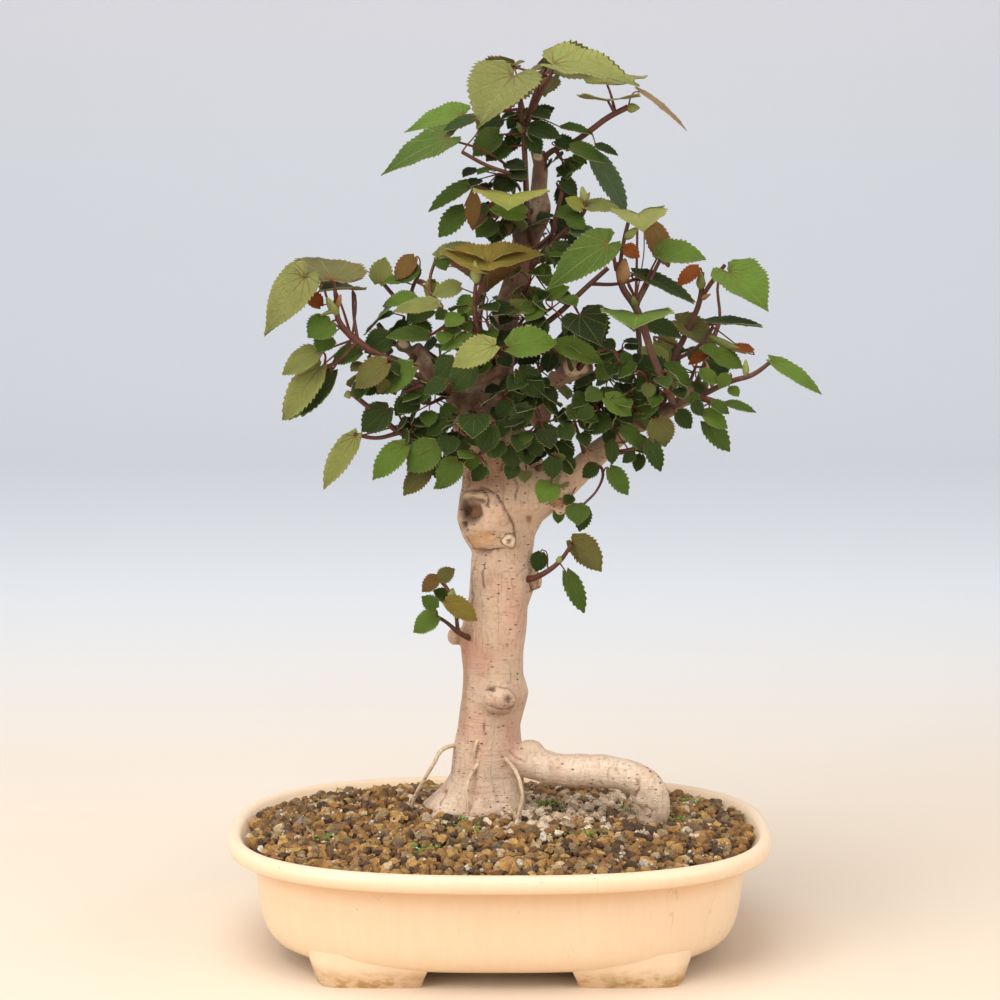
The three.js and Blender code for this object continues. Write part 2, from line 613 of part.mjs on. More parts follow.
// Leaf rows: across, down, back at the leaf's foot, across, down at its tip, width, roll in degrees, lean
const shoots = {
  shoot_leader: {
    colour: 0x8fb04a,
    stems: [
      [
        [532, 244, 6, 7], [528, 222, -6, 6.5], [526, 185, -10, 6], [523.6, 137, -10, 5.5],
        [521, 104, -10, 5],
      ],
    ],
    leaves: [
      [554, 63, -14, 639, 80, 85, 22, 1, [524, 131, -10]],
      [510, 67.5, -12, 476, 119, 72, 62],
      [543, 62, 26, 603, 45, 60, -6, -1, [524, 126, -10]],
      [514, 66, 16, 478, 76, 44, 12, -1],
      [552, 78, 2, 543, 94, 26, -20],
      [500, 120, -4, 478, 137, 28, 30],
      [500, 137, -16, 468, 156, 32, 42],
      [463, 117, -8, 403, 129, 44, 24],
      [474, 119, -34, 442, 128, 22, 30],
      [449, 147, -34, 378, 170, 58, 28, 1, [525, 180, -10]],
      [530, 128, -16, 562, 134, 24, 45],
      [563, 128, -8, 593, 132, 20, 25],
    ],
    buds: [[521, 104, -10, 524, 78, 9]],
  },
  shoot_top_right: {
    colour: 0x6f9a45,
    stems: [[[541, 165, 8, 7], [548, 154, 4, 6], [573.6, 142, 0, 6], [594, 128, -6, 5]]],
    leaves: [
      [606, 84, 18, 645, 70, 62, 8, -1],
      [608, 104, -14, 612, 100, 60, 12],
      [640, 97, -12, 690, 130, 30, 25],
      [556, 141, -6, 578, 148, 22, 40],
      [572, 148, -12, 607, 159, 26, 35],
      [592, 158, 6, 629, 214, 40, 60],
    ],
    buds: [[594, 128, -6, 600, 119, 6]],
  },
  shoot_upper_left: {
    colour: 0x4c7a35,
    stems: [[[536, 214, 8, 7], [516, 205, -4, 6], [490, 194, -14, 5]]],
    leaves: [
      [468, 184, -20, 427, 209, 36, 34],
      [464, 209, -14, 438, 237, 34, 62],
      [524, 214, -30, 490, 207, 26, 50],
      [515, 196, -28, 512, 200, 66, 8, 1, [514, 204, -6]],
    ],
  },
  shoot_upper_right: {
    colour: 0x507f39,
    stems: [[[530, 268, 8, 7], [548, 248, -4, 6], [564, 231.5, -10, 5], [574, 218, -12, 5]]],
    leaves: [
      [561, 188, 14, 571, 214, 22, 55],
      [586, 207, -14, 624, 207, 36, 26],
      [554, 220, 12, 578, 238, 24, 60],
      [552, 247, -24, 573, 265, 26, 55],
      [570, 233, -20, 610, 243, 30, 38],
      [556, 288, 16, 532, 268, 20, 30],
    ],
    buds: [[574, 218, -12, 582, 190, 8]],
  },
  shoot_right_long: {
    colour: 0x93b455,
    stems: [
      [
        [674, 405, -10, 8], [666, 386, -36, 8.5], [655, 362, -37, 8], [636, 308, -36, 8],
        [622, 286, -38, 7],
      ],
    ],
    leaves: [
      [631, 210, -34, 637, 220, 52, 20],
      [649, 230, -14, 672, 268, 24, 55],
      [659, 258, -32, 706, 258, 40, 32, 1, [637, 310, -36]],
      [612, 247, -48, 542, 286, 50, 42],
      [643, 277, -34, 697, 297, 36, 38],
      [640, 322, -40, 636, 327, 68, 10],
      [645, 322, -22, 687, 334, 28, 45, -1],
    ],
    buds: [[622, 286, -38, 622, 258, 15], [638, 312, -36, 634, 296, 7]],
  },
  shoot_right_tall: {
    colour: 0x7ea64e,
    stems: [
      [
        [692, 392, -10, 8], [684, 380, 8, 6], [673.5, 366, 10, 6], [684, 338, 12, 6],
        [700, 299.5, 14, 5.5],
      ],
    ],
    leaves: [
      [725, 264, 6, 766, 309, 60, 66, 1, [699, 303, 14]],
      [677, 322, 14, 716, 343, 34, 45],
      [713, 323, 4, 763, 322, 28, 20],
      [722, 360, -2, 750, 370, 26, 40],
      [658, 341, 28, 681, 364, 26, 60],
    ],
    buds: [[700, 299.5, 14, 701, 272, 9]],
  },
  shoot_right_end: {
    colour: 0x6f9c40,
    stems: [
      [[688, 394, -11, 9], [705, 399, -20, 7]],
      [[698, 397, -15, 6], [732, 381, -16, 5.5], [752, 375, -17, 5]],
    ],
    leaves: [
      [771, 361, -18, 824, 392, 26, 36],
      [727, 404, -26, 758, 411, 19, 30],
      [704, 414, -28, 731, 425, 22, 50],
      [706, 424, -22, 733, 453, 26, 60],
      [677, 413, -28, 692, 428, 20, 50],
    ],
  },
  shoot_limb_under: {
    colour: 0x55803a,
    stems: [[[606, 444, -4, 8], [616, 452, -22, 6], [636, 448, -26, 5]]],
    leaves: [
      [657, 420, -30, 666, 447, 28, 70],
    ],
  },
  shoot_fork: {
    colour: 0x4f8234,
    stems: [[[588, 464, 2, 8], [604, 474, -20, 5], [592, 492, -25, 4]]],
    leaves: [
      [577, 505, -28, 578, 524, 24, 70],
      [610, 469, -26, 629, 495, 20, 55],
    ],
  },
  shoot_limb_top: {
    colour: 0x5f9440,
    stems: [[[616, 436, -4, 8], [608, 424, -22, 6], [606, 408, -26, 5]]],
    leaves: [
      [609, 420, -32, 583, 431, 26, 50],
      [600, 398, -22, 584, 410, 20, 60],
      [606, 398, -36, 633, 414, 24, 50],
      [656, 400, -26, 634, 418, 20, 50],
    ],
  },
  shoot_limb_bend: {
    colour: 0x3f6b2e,
    stems: [[[656, 414, -8, 8], [666, 394, 4, 6], [667, 384, 5, 5]]],
    leaves: [
      [668, 380, -4, 631, 356, 50, 48],
      [662, 368, 8, 642, 346, 28, 50],
      [665, 368, -20, 692, 385, 27, 45],
    ],
  },
  shoot_centre_top: {
    colour: 0x7fa048,
    stems: [
      [
        [508, 340, 8, 8], [530, 332, -8, 6], [549, 321, -14, 6], [590, 284, -18, 5.5],
        [606, 270, -20, 5],
      ],
    ],
    leaves: [
      [510, 347, -42, 557, 339, 40, 46],
      [506, 311, -24, 542, 304, 22, 40],
      [513, 297, -10, 546, 289, 20, 40],
      [547, 298, -20, 569, 286, 20, 40],
      [580, 316, -34, 601, 344, 46, 50],
    ],
  },
  shoot_knot: {
    colour: 0x4d7a34,
    stems: [[[572, 376, -10, 9], [586, 364, -24, 5]]],
    leaves: [
      [558, 345, -32, 605, 359, 28, 45],
      [578, 342, -20, 607, 356, 24, 50],
      [612, 366, -30, 596, 379, 20, 55],
    ],
  },
  shoot_centre_right: {
    colour: 0x44722f,
    stems: [[[520, 448, 10, 10], [534, 434, -20, 7], [540, 420, -26, 6], [534, 398, -30, 5]]],
    leaves: [
      [528, 406, -42, 512, 431, 23, 60],
      [525, 380, -34, 508, 402, 24, 60],
      [519, 371, -40, 545, 397, 27, 60],
      [549, 425, -34, 539, 444, 20, 60],
      [552, 458, -34, 553, 479, 20, 70],
      [552, 484, -28, 540, 501, 26, 65],
      [522, 437, -38, 517, 451, 20, 60],
    ],
  },
  shoot_centre_left: {
    colour: 0x4d7d33,
    stems: [[[488, 452, 8, 10], [490, 438, -24, 7], [486, 420, -34, 5]]],
    leaves: [
      [474, 416, -40, 473, 435, 32, 70],
      [493, 427, -44, 481, 453, 24, 60],
      [511, 447, -36, 514, 469, 22, 60],
    ],
  },
  shoot_low_left: {
    colour: 0x5f8f3c,
    stems: [
      [
        [462, 446, 8, 8], [436.5, 442, -12, 6], [417, 437, -16, 6], [400, 432.5, -18, 6],
        [382, 418, -20, 5.5], [356, 396, -22, 5],
      ],
    ],
    leaves: [
      [388, 409, -24, 361, 431, 30, 60],
      [410, 398, -22, 394, 415, 20, 50],
      [451, 417, -26, 425, 435, 22, 50],
      [354, 434, -22, 319, 486, 40, 42],
      [406, 439, -24, 375, 477, 38, 56],
      [436, 446, -28, 406, 470, 34, 60],
      [450, 437, -32, 446, 455, 22, 60],
      [458, 462, -34, 437, 486, 27, 60],
      [428, 468, -20, 402, 494, 24, 50],
    ],
    buds: [[356, 396, -22, 345, 394, 9]],
  },
  shoot_left_long: {
    colour: 0x7d9440,
    stems: [
      [
        [416, 356, -2, 8], [403, 363, -22, 7], [377.6, 354, -26, 7], [357, 340, -30, 7],
        [340, 322, -34, 6],
      ],
    ],
    leaves: [
      [335, 281, -38, 304, 257, 66, -26, -1],
      [312, 282, -44, 265, 339, 50, 45],
      [330, 322, -40, 308, 336, 30, 60],
      [329, 338, -34, 318, 352, 22, 50],
      [318, 352, -38, 281, 373, 32, 48],
      [319, 367, -34, 280, 420, 40, 48],
      [322, 388, -12, 285, 418, 34, 55],
      [331, 374, -28, 309, 430, 26, 50],
      [353, 292, -22, 318, 285, 44, 6],
      [360, 352, -24, 331, 361, 26, 40],
      [386, 364, -36, 353, 386, 36, 46],
      [412, 366, -32, 374, 393, 36, 50],
    ],
    buds: [[340, 322, -34, 328, 298, 10]],
  },
  shoot_left_upper: {
    colour: 0x6c8f3f,
    stems: [
      [[462, 392, 4, 8], [426, 352, 14, 6], [404, 346, 10, 5]],
      [[405, 348, 10, 4.5], [409, 322, 4, 4], [411, 296, 0, 4]],
    ],
    leaves: [
      [379, 283, 2, 385, 257, 23, 60],
      [414, 258, -6, 394, 279, 20, 55],
      [378, 324, 4, 391, 301, 42, 50],
      [414, 299, -18, 385, 302, 24, 35],
      [437, 305, -32, 391, 310, 30, 36],
      [433, 311, -2, 406, 321, 22, 40],
    ],
    buds: [[411, 296, 0, 416, 272, 7]],
  },
  shoot_left_high: {
    colour: 0x9c8f3a,
    stems: [
      [
        [488, 356, 8, 9], [484, 345, -18, 7], [478, 329, -24, 6], [475, 306, -28, 5.5],
        [480, 284, -30, 5],
      ],
    ],
    leaves: [
      [489, 263, -32, 487, 284, 92, 0, -1],
      [437, 256, -12, 474, 243, 24, 30],
      [460, 287, -22, 432, 294, 23, 45],
      [429, 338, -26, 384, 333, 36, 42],
      [470, 338, -30, 439, 349, 20, 40],
      [494, 346, -58, 451, 364, 34, 50],
    ],
    buds: [[475, 306, -28, 475, 262, 9]],
  },
  shoot_left_middle: {
    colour: 0x3c672c,
    stems: [[[446, 396, 0, 8], [444, 384, -30, 5]]],
    leaves: [
      [454, 360, -34, 435, 380, 26, 60],
      [473, 366, -44, 451, 391, 28, 60],
      [430, 389, -30, 408, 403, 20, 50],
      [446, 382, -48, 423, 393, 20, 45],
    ],
  },
  shoot_trunk_left: {
    colour: 0x8a9a4a,
    stems: [[[474, 640, 8, 7], [458, 632, -4, 5], [452, 612, -8, 4]]],
    leaves: [
      [447, 602, -14, 479, 619, 24, 45],
      [437, 616, -10, 412, 631, 26, 40],
    ],
    buds: [[452, 612, -8, 453, 592, 8]],
  },
  shoot_trunk_right: {
    colour: 0x73703a,
    stems: [[[526, 580, 8, 7], [540, 575.5, -2, 6], [557, 564, -6, 5]]],
    leaves: [
      [572, 541, -8, 604, 569, 42, -40],
      [567, 573, -10, 586, 614, 19, 60],
    ],
  },
};

// Behind the crown: a shoot that repeats leaves of the front, turned to face away and set back
const behind = {
  shoot_back_top: {
    from: 'shoot_leader',
    count: 3,
    stem: [[538, 170, 8, 7], [528, 130, 34, 5], [520, 96, 50, 4]],
    back: 76,
  },
  shoot_back_left: {
    from: 'shoot_left_long',
    count: 3,
    stem: [[448, 392, 12, 8], [400, 366, 40, 6], [352, 340, 60, 5]],
    back: 92,
  },
  shoot_back_low: {
    from: 'shoot_low_left',
    count: 3,
    stem: [[470, 440, 14, 8], [440, 436, 44, 6], [404, 424, 60, 5]],
    back: 84,
  },
  shoot_back_middle: {
    from: 'shoot_left_high',
    count: 3,
    stem: [[500, 350, 14, 8], [480, 330, 44, 6], [484, 290, 62, 5]],
    back: 92,
  },
  shoot_back_high: {
    from: 'shoot_upper_right',
    count: 3,
    stem: [[534, 250, 10, 7], [556, 236, 36, 5], [580, 222, 50, 4]],
    back: 62,
  },
  shoot_back_right: {
    from: 'shoot_right_long',
    count: 3,
    stem: [[632, 425, -4, 8], [640, 370, 40, 6], [636, 300, 56, 5]],
    back: 96,
  },
  shoot_back_end: {
    from: 'shoot_right_tall',
    count: 3,
    stem: [[682, 402, -9, 8], [700, 376, 44, 6], [720, 320, 60, 5]],
    back: 62,
  },
  shoot_back_centre: {
    from: 'shoot_centre_top',
    count: 3,
    stem: [[508, 400, 14, 10], [540, 370, 46, 6], [556, 340, 58, 5]],
    back: 92,
  },
};

function behindShoot({ from, count, stem, back }) {
  const wide = shoots[from].leaves.filter(([, , , , , width]) => width >= 24);
  const leaves = wide.slice(0, count).map(([across, down, depth, tipAcross, tipDown, width, roll]) => {
    return [across, down, depth + back, tipAcross, tipDown, width * 0.92, -Math.max(roll, 20), -1];
  });
  return { stems: [stem], leaves };
}

const object = new THREE.Group();
object.name = 'sea_hibiscus_bonsai';

const treeRoom = treeSolid(seatGap);
object.add(mesh('pot', potSolid(), 0xf3dcb4, 0.35));
object.add(mesh('drain_screen_left', screenSolid(-drainOffset), 0x2c2c2a, 0.6));
object.add(mesh('drain_screen_right', screenSolid(drainOffset), 0x2c2c2a, 0.6));
object.add(mesh('soil', soilSolid(treeRoom), 0x8a6a48, 0.95));
object.add(mesh('tree', treeSolid(), 0xd9bfa6, 0.85));
Object.entries(shoots).forEach(([name, shoot], index) => {
  object.add(mesh(name, shootSolid(shoot, 40 * (index + 1), treeRoom), shoot.colour, 0.6));
});
Object.entries(behind).forEach(([name, row], index) => {
  object.add(mesh(name, shootSolid(behindShoot(row), 40 * (index + 31), treeRoom), 0x4a7434, 0.6));
});

// The origin: the middle of the whole outline from above, on the surface that the feet stand on
const extent = new THREE.Box3().setFromObject(object);
const middle = extent.getCenter(new THREE.Vector3());
object.position.set(-middle.x, -middle.y, -extent.min.z);

export default object;
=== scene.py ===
import math
import random

import bpy
import numpy as np
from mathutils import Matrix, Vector, noise


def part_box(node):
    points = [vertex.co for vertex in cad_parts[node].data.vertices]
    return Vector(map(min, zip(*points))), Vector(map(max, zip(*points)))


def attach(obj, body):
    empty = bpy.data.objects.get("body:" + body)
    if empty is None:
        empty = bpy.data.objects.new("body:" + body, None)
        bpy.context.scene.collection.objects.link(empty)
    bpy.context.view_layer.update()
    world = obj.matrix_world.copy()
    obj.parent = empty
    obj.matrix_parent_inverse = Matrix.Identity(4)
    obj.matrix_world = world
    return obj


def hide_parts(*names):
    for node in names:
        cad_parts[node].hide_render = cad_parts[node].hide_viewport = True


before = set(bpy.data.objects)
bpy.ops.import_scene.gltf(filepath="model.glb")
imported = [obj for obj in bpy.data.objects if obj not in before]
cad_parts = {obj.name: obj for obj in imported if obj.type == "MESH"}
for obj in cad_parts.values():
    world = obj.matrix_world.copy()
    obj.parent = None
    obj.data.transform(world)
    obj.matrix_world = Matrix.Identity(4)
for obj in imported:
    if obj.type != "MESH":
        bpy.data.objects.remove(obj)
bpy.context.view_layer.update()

potLow, potHigh = (Vector(corner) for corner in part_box("pot"))
potMiddle = Vector(((potLow.x + potHigh.x) / 2, (potLow.y + potHigh.y) / 2, 0.0))
dice = random.Random(11)
# Blender's noise vectors start from the clock where they aren't seeded
noise.seed_set(11)

# The camera in front of the tree. Places across and down below are in a view 1000 wide and high.
view = {
    "distance": 1.400,
    "height": 0.438,
    "tilt": math.radians(6.9),
    "focal": 2389.0,
    "middle": 500.0,
    "size": 1000,
    "sensor": 36.0,
    "farthest": 20.0,
}
cameraSpot = potMiddle + Vector((0.0, -view["distance"], view["height"]))
cosTilt, sinTilt = math.cos(view["tilt"]), math.sin(view["tilt"])


def seen(across, down, back):
    # the point seen there, so many mm behind the middle of the pot
    right = (across - view["middle"]) / view["focal"]
    up = (view["middle"] - down) / view["focal"]
    reach = (view["distance"] + back / 1000) / (cosTilt + up * sinTilt)
    high = view["height"] + reach * (up * cosTilt - sinTilt)
    return Vector((potMiddle.x + right * reach, potMiddle.y + back / 1000, high))


def seenScale(back):
    # metres for one step of the view, so many mm behind the middle of the pot
    return (view["distance"] + back / 1000) / view["focal"]


def chance(seed):
    # a settled draw from 0 to 1 for each seed
    wave = math.sin(seed * 12.9898) * 43758.5453
    return wave - math.floor(wave)


def rgb(red, green, blue):
    # a colour as a screen shows it, from 0 to 255, made linear for the shaders
    return tuple(((part / 255 + 0.055) / 1.055) ** 2.4 for part in (red, green, blue))


# Shader maths: a wire is one socket, and a paint is one material

class Wire:
    def __init__(self, paint, socket):
        self.paint = paint
        self.socket = socket

    def maths(self, kind, first, second=0.0):
        return self.paint.add("ShaderNodeMath", {"operation": kind}, {0: first, 1: second})

    def __add__(self, other):
        return self.maths("ADD", self, other)

    def __radd__(self, other):
        return self.maths("ADD", other, self)

    def __sub__(self, other):
        return self.maths("SUBTRACT", self, other)

    def __rsub__(self, other):
        return self.maths("SUBTRACT", other, self)

    def __mul__(self, other):
        return self.maths("MULTIPLY", self, other)

    def __rmul__(self, other):
        return self.maths("MULTIPLY", other, self)

    def __truediv__(self, other):
        return self.maths("DIVIDE", self, other)

    def __abs__(self):
        return self.maths("ABSOLUTE", self)

    def sine(self):
        return self.maths("SINE", self)

    def cosine(self):
        return self.maths("COSINE", self)

    def root(self):
        return self.maths("SQRT", self)

    def turnFrom(self, other):
        return self.maths("ARCTAN2", self, other)

    def least(self, other):
        return self.maths("MINIMUM", self, other)

    def most(self, other):
        return self.maths("MAXIMUM", self, other)

    def wrap(self):
        return self.maths("FRACT", self)

    def span(self, low, high):
        # from 0 at low to 1 at high, smooth and held at both ends
        settings = {"interpolation_type": "SMOOTHSTEP"}
        values = {"Value": self, "From Min": low, "From Max": high}
        return self.paint.add("ShaderNodeMapRange", settings, values)


class Paint:
    def __init__(self, name):
        self.material = bpy.data.materials.new(name)
        self.material.use_nodes = True
        self.tree = self.material.node_tree
        self.shader = self.tree.nodes["Principled BSDF"]

    def add(self, kind, settings=None, values=None, out=0):
        # a node with its settings first and then the values or wires of its sockets
        node = self.tree.nodes.new(kind)
        for name, setting in (settings or {}).items():
            setattr(node, name, setting)
        for name, value in (values or {}).items():
            self.feed(node.inputs[name], value)
        return Wire(self, node.outputs[out])

    def feed(self, socket, value):
        if isinstance(value, Wire):
            self.tree.links.new(value.socket, socket)
        elif socket.type == "RGBA" and len(value) == 3:
            socket.default_value = (*value, 1.0)
        else:
            socket.default_value = value

    def place(self, scale=(1.0, 1.0, 1.0)):
        # the object's own coordinates
        spot = self.add("ShaderNodeTexCoord", out=3)
        return self.add("ShaderNodeMapping", None, {"Vector": spot, "Scale": scale})

    def attribute(self, name, out=0):
        # out is 0 for the colour, 1 for the vector, 2 for the number and 3 for the alpha
        return self.add("ShaderNodeAttribute", {"attribute_name": name}, out=out)

    def cloud(self, spot, scale, detail=4.0, rough=0.55, bend=0.0):
        values = {"Vector": spot, "Scale": scale, "Detail": detail, "Roughness": rough, "Distortion": bend}
        return self.add("ShaderNodeTexNoise", None, values)

    def cells(self, spot, scale, feature="F1"):
        return self.add("ShaderNodeTexVoronoi", {"feature": feature}, {"Vector": spot, "Scale": scale})

    def mix(self, share, first, second):
        return self.add("ShaderNodeMix", {"data_type": "RGBA"}, {0: share, 6: first, 7: second}, 2)

    def parts(self, vector):
        node = self.tree.nodes.new("ShaderNodeSeparateXYZ")
        self.feed(node.inputs[0], vector)
        return [Wire(self, socket) for socket in node.outputs]

    def bump(self, height, depth, strength=1.0):
        return self.add("ShaderNodeBump", None, {"Height": height, "Distance": depth, "Strength": strength})

    def finish(self, **sockets):
        for name, value in sockets.items():
            self.feed(self.shader.inputs[name.replace("_", " ")], value)
        return self.material


# Modelling helpers

def clear():
    if bpy.context.mode != "OBJECT":
        bpy.ops.object.mode_set(mode="OBJECT")
    bpy.ops.object.select_all(action="DESELECT")


def take(*things):
    clear()
    for thing in things:
        thing.select_set(True)
    bpy.context.view_layer.objects.active = things[-1]
    return things[-1]


def added(name, operator, **settings):
    clear()
    operator(**settings)
    thing = bpy.context.active_object
    thing.name = name
    return thing


def modified(thing, kind, **settings):
    take(thing)
    extra = thing.modifiers.new(kind.lower(), kind)
    for name, value in settings.items():
        setattr(extra, name, value)
    bpy.ops.object.modifier_apply(modifier=extra.name)
    return thing


def settled(thing):
    take(thing)
    bpy.ops.object.transform_apply(location=True, rotation=True, scale=True)
    return thing


def smoothed(thing, angle=40):
    take(thing)
    bpy.ops.object.shade_smooth_by_angle(angle=math.radians(angle))
    return thing


def pieceOf(name, vertices, faces):
    mesh = bpy.data.meshes.new(name)
    mesh.from_pydata([tuple(vertex) for vertex in vertices], [], faces)
    mesh.update()
    thing = bpy.data.objects.new(name, mesh)
    bpy.context.scene.collection.objects.link(thing)
    return thing


def rightSideOut(thing):
    take(thing)
    bpy.ops.object.mode_set(mode="EDIT")
    bpy.ops.mesh.select_all(action="SELECT")
    bpy.ops.mesh.remove_doubles(threshold=0.000001)
    bpy.ops.mesh.normals_make_consistent(inside=False)
    bpy.ops.object.mode_set(mode="OBJECT")
    return thing


def coordsOf(mesh):
    points = np.empty(len(mesh.vertices) * 3)
    mesh.vertices.foreach_get("co", points)
    return points.reshape(-1, 3)


def layered(thing, title, values, kind="FLOAT_COLOR", field="color"):
    # an attribute of the mesh with a value for each point
    layer = thing.data.attributes.new(title, kind, "POINT")
    layer.data.foreach_set(field, values)


def painted(thing, material):
    thing.data.materials.clear()
    thing.data.materials.append(material)


def removed(things):
    for thing in things:
        bpy.data.objects.remove(thing)


def kept(thing, slot, *replaced):
    # a piece of the part, with the nodes that it takes the place of
    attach(thing, "root")
    if replaced:
        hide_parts(*replaced)
    return thing


# Camera, floor and light

def makeCamera():
    turn = (math.radians(90) - view["tilt"], 0.0, 0.0)
    clear()
    bpy.ops.object.camera_add(location=cameraSpot, rotation=turn)
    camera = bpy.context.active_object
    camera.data.sensor_width = view["sensor"]
    camera.data.lens = view["sensor"] * view["focal"] / view["size"]
    camera.data.clip_end = view["farthest"]
    bpy.context.scene.camera = camera


studio = {
    "world": (0.92, 0.94, 1.0),
    "worldStrength": 0.64,
    "floor": rgb(226, 208, 186),
    "floorLight": rgb(230, 214, 192),
    # wall and high are the same paper as the floor, painted paler and cooler: painted light on the backdrop
    "wall": rgb(238, 242, 244),
    "high": rgb(250, 243, 246),
    # a square of paper whose far side turns up into a wall
    "floorSize": 6.0,
    "floorMiddle": 1.0,
    "wallHeight": 4.0,
    "cove": 1.2,
    "lampAim": (0.0, 0.0, 0.25),
    "lamps": {
        "softTop": {"at": (-0.4, -0.7, 2.0), "power": 31, "size": 1.5, "colour": (1.0, 0.97, 0.93)},
        "softLeft": {"at": (-1.5, -1.3, 1.0), "power": 19, "size": 1.2, "colour": (1.0, 0.97, 0.93)},
        "softRight": {"at": (1.5, -1.0, 0.9), "power": 11, "size": 1.2, "colour": (1.0, 0.93, 0.86)},
    },
}


def makeStudio():
    middle = (0.0, studio["floorMiddle"], 0.0)
    farSide = studio["floorSize"] / 2 - 0.1
    floor = added("floor", bpy.ops.mesh.primitive_plane_add, size=studio["floorSize"], location=middle)
    bpy.ops.object.mode_set(mode="EDIT")
    bpy.ops.mesh.select_mode(type="EDGE")
    bpy.ops.mesh.select_all(action="DESELECT")
    bpy.ops.object.mode_set(mode="OBJECT")
    for edge in floor.data.edges:
        ends = [floor.data.vertices[index].co.y for index in edge.vertices]
        edge.select = min(ends) > farSide
    bpy.ops.object.mode_set(mode="EDIT")
    bpy.ops.mesh.extrude_region_move(TRANSFORM_OT_translate={"value": (0.0, 0.0, studio["wallHeight"])})
    bpy.ops.object.mode_set(mode="OBJECT")
    modified(floor, "BEVEL", width=studio["cove"], segments=10)
    settled(floor)
    smoothed(floor, 60)
    paint = Paint("studioPaper")
    x, y, z = paint.parts(paint.place())
    grain = paint.cloud(paint.place(), 3.0, 2.0)
    base = paint.mix(grain, studio["floor"], studio["floorLight"])
    # painted light: the paper is painted paler and cooler going back onto the wall, and paler again higher up
    farther = paint.mix(y.span(0.0, 1.5), base, studio["wall"])
    colour = paint.mix(z.span(0.3, 1.5), farther, studio["high"])
    floor.data.materials.append(paint.finish(Base_Color=colour, Roughness=0.9))
    world = bpy.context.scene.world or bpy.data.worlds.new("studio")
    bpy.context.scene.world = world
    world.use_nodes = True
    bpy.context.scene.view_settings.view_transform = "Standard"
    sky = world.node_tree.nodes["Background"]
    sky.inputs["Color"].default_value = (*studio["world"], 1.0)
    sky.inputs["Strength"].default_value = studio["worldStrength"]
    for name, lamp in studio["lamps"].items():
        clear()
        bpy.ops.object.light_add(type="AREA", location=lamp["at"])
        light = bpy.context.active_object
        light.name = name
        light.data.energy = lamp["power"]
        light.data.size = lamp["size"]
        light.data.color = lamp["colour"]
        aim = Vector(studio["lampAim"]) - light.location
        light.rotation_euler = aim.to_track_quat("-Z", "Y").to_euler()


# Pot

pot = {
    "halfLength": 0.162,
    "halfDepth": 0.1215,
    "power": 2.6,
    "sides": 144,
    # in mm, inset from the rim's outline and height: underside, outer side, over the lip, inner side
    "underside": [(120, 9), (60, 9), (37, 9)],
    "outside": [
        (33, 9.4), (29.5, 10.5), (26.8, 12.2), (24.6, 14.6), (22.6, 17.6), (21.2, 21), (20, 25), (19, 30),
        (18.1, 36), (17.3, 43), (16.6, 50), (15.9, 56), (15.2, 60), (14.6, 61.6), (12.5, 62.6), (7, 63),
        (3.4, 63.4), (1.4, 64.6), (0.3, 66.6), (0, 69), (0.5, 71.2), (1.7, 73.0), (3.6, 73.9), (5.6, 73.9),
        (7.2, 73.1), (8.2, 71.6),
    ],
    "inside": [
        (9.6, 69), (12, 65), (18, 58), (24, 50), (26.5, 41), (29, 32), (33, 24), (42, 17.3), (56, 17),
        (120, 17),
    ],
    # a ring this near the middle is closed to make a floor
    "floorReach": 0.045,
    # a foot's outline from the middle of the pot, on the ground and inside the wall, in mm
    "footOutline": [
        (45, 71), (70, 70), (93, 69), (101, 67.5), (105.2, 68.6), (105.6, 72), (104, 78), (101.5, 83),
        (97.5, 86), (90, 87), (72, 87.6), (56, 87.6), (45.8, 87), (44.6, 85.6), (44.4, 73),
    ],
    "footTop": [
        (38, 84), (70, 81.5), (93, 75), (104, 68), (110, 66), (112, 68.5), (110.5, 72.5), (107, 76.5),
        (101, 80.5), (91, 85.5), (72, 90), (56, 93), (38.5, 95), (37.6, 94), (37.6, 86),
    ],
    # up a foot: the share of the way from its outline to its top, its size and its height in mm
    "footLevels": [
        (0.0, 0.985, 0.0), (0.0, 1.0, 0.8), (0.2, 1.0, 5.0), (0.52, 1.0, 10.5), (0.8, 1.0, 15.0),
        (1.0, 1.0, 19),
    ],
    "footMiddle": (75, 78),
    "holes": 0.062,
    "holeRadius": 0.010,
    "drillHeight": 0.013,
    "drillLength": 0.03,
}


def ovalPoint(turn, inset, height):
    # on the pot's outline drawn in by the inset
    c, s = math.cos(turn), math.sin(turn)
    x = (pot["halfLength"] - inset) * math.copysign(abs(c) ** (2 / pot["power"]), c)
    y = (pot["halfDepth"] - inset) * math.copysign(abs(s) ** (2 / pot["power"]), s)
    return Vector((potMiddle.x + x, potMiddle.y + y, height))


def makePot():
    print("pot: body")
    profile = pot["underside"] + pot["outside"] + pot["inside"]
    body = turnedOval("potBody", profile, pot["sides"])
    closeRing(body, profile[-1][1] / 1000, 36)
    closeRing(body, profile[0][1] / 1000, 36)
    rightSideOut(body)
    feet = [makeFoot(sideways, forward) for sideways in (-1, 1) for forward in (-1, 1)]
    take(*feet, body)
    bpy.ops.object.join()
    for side in (-1, 1):
        spot = (potMiddle.x + side * pot["holes"], potMiddle.y, pot["drillHeight"])
        drill = added(
            "drill", bpy.ops.mesh.primitive_cylinder_add,
            vertices=32, radius=pot["holeRadius"], depth=pot["drillLength"], location=spot,
        )
        modified(body, "BOOLEAN", operation="DIFFERENCE", object=drill, solver="EXACT")
        removed([drill])
    smoothed(body, 50)
    painted(body, glazePaint())
    kept(body, "pot_glaze", "pot")


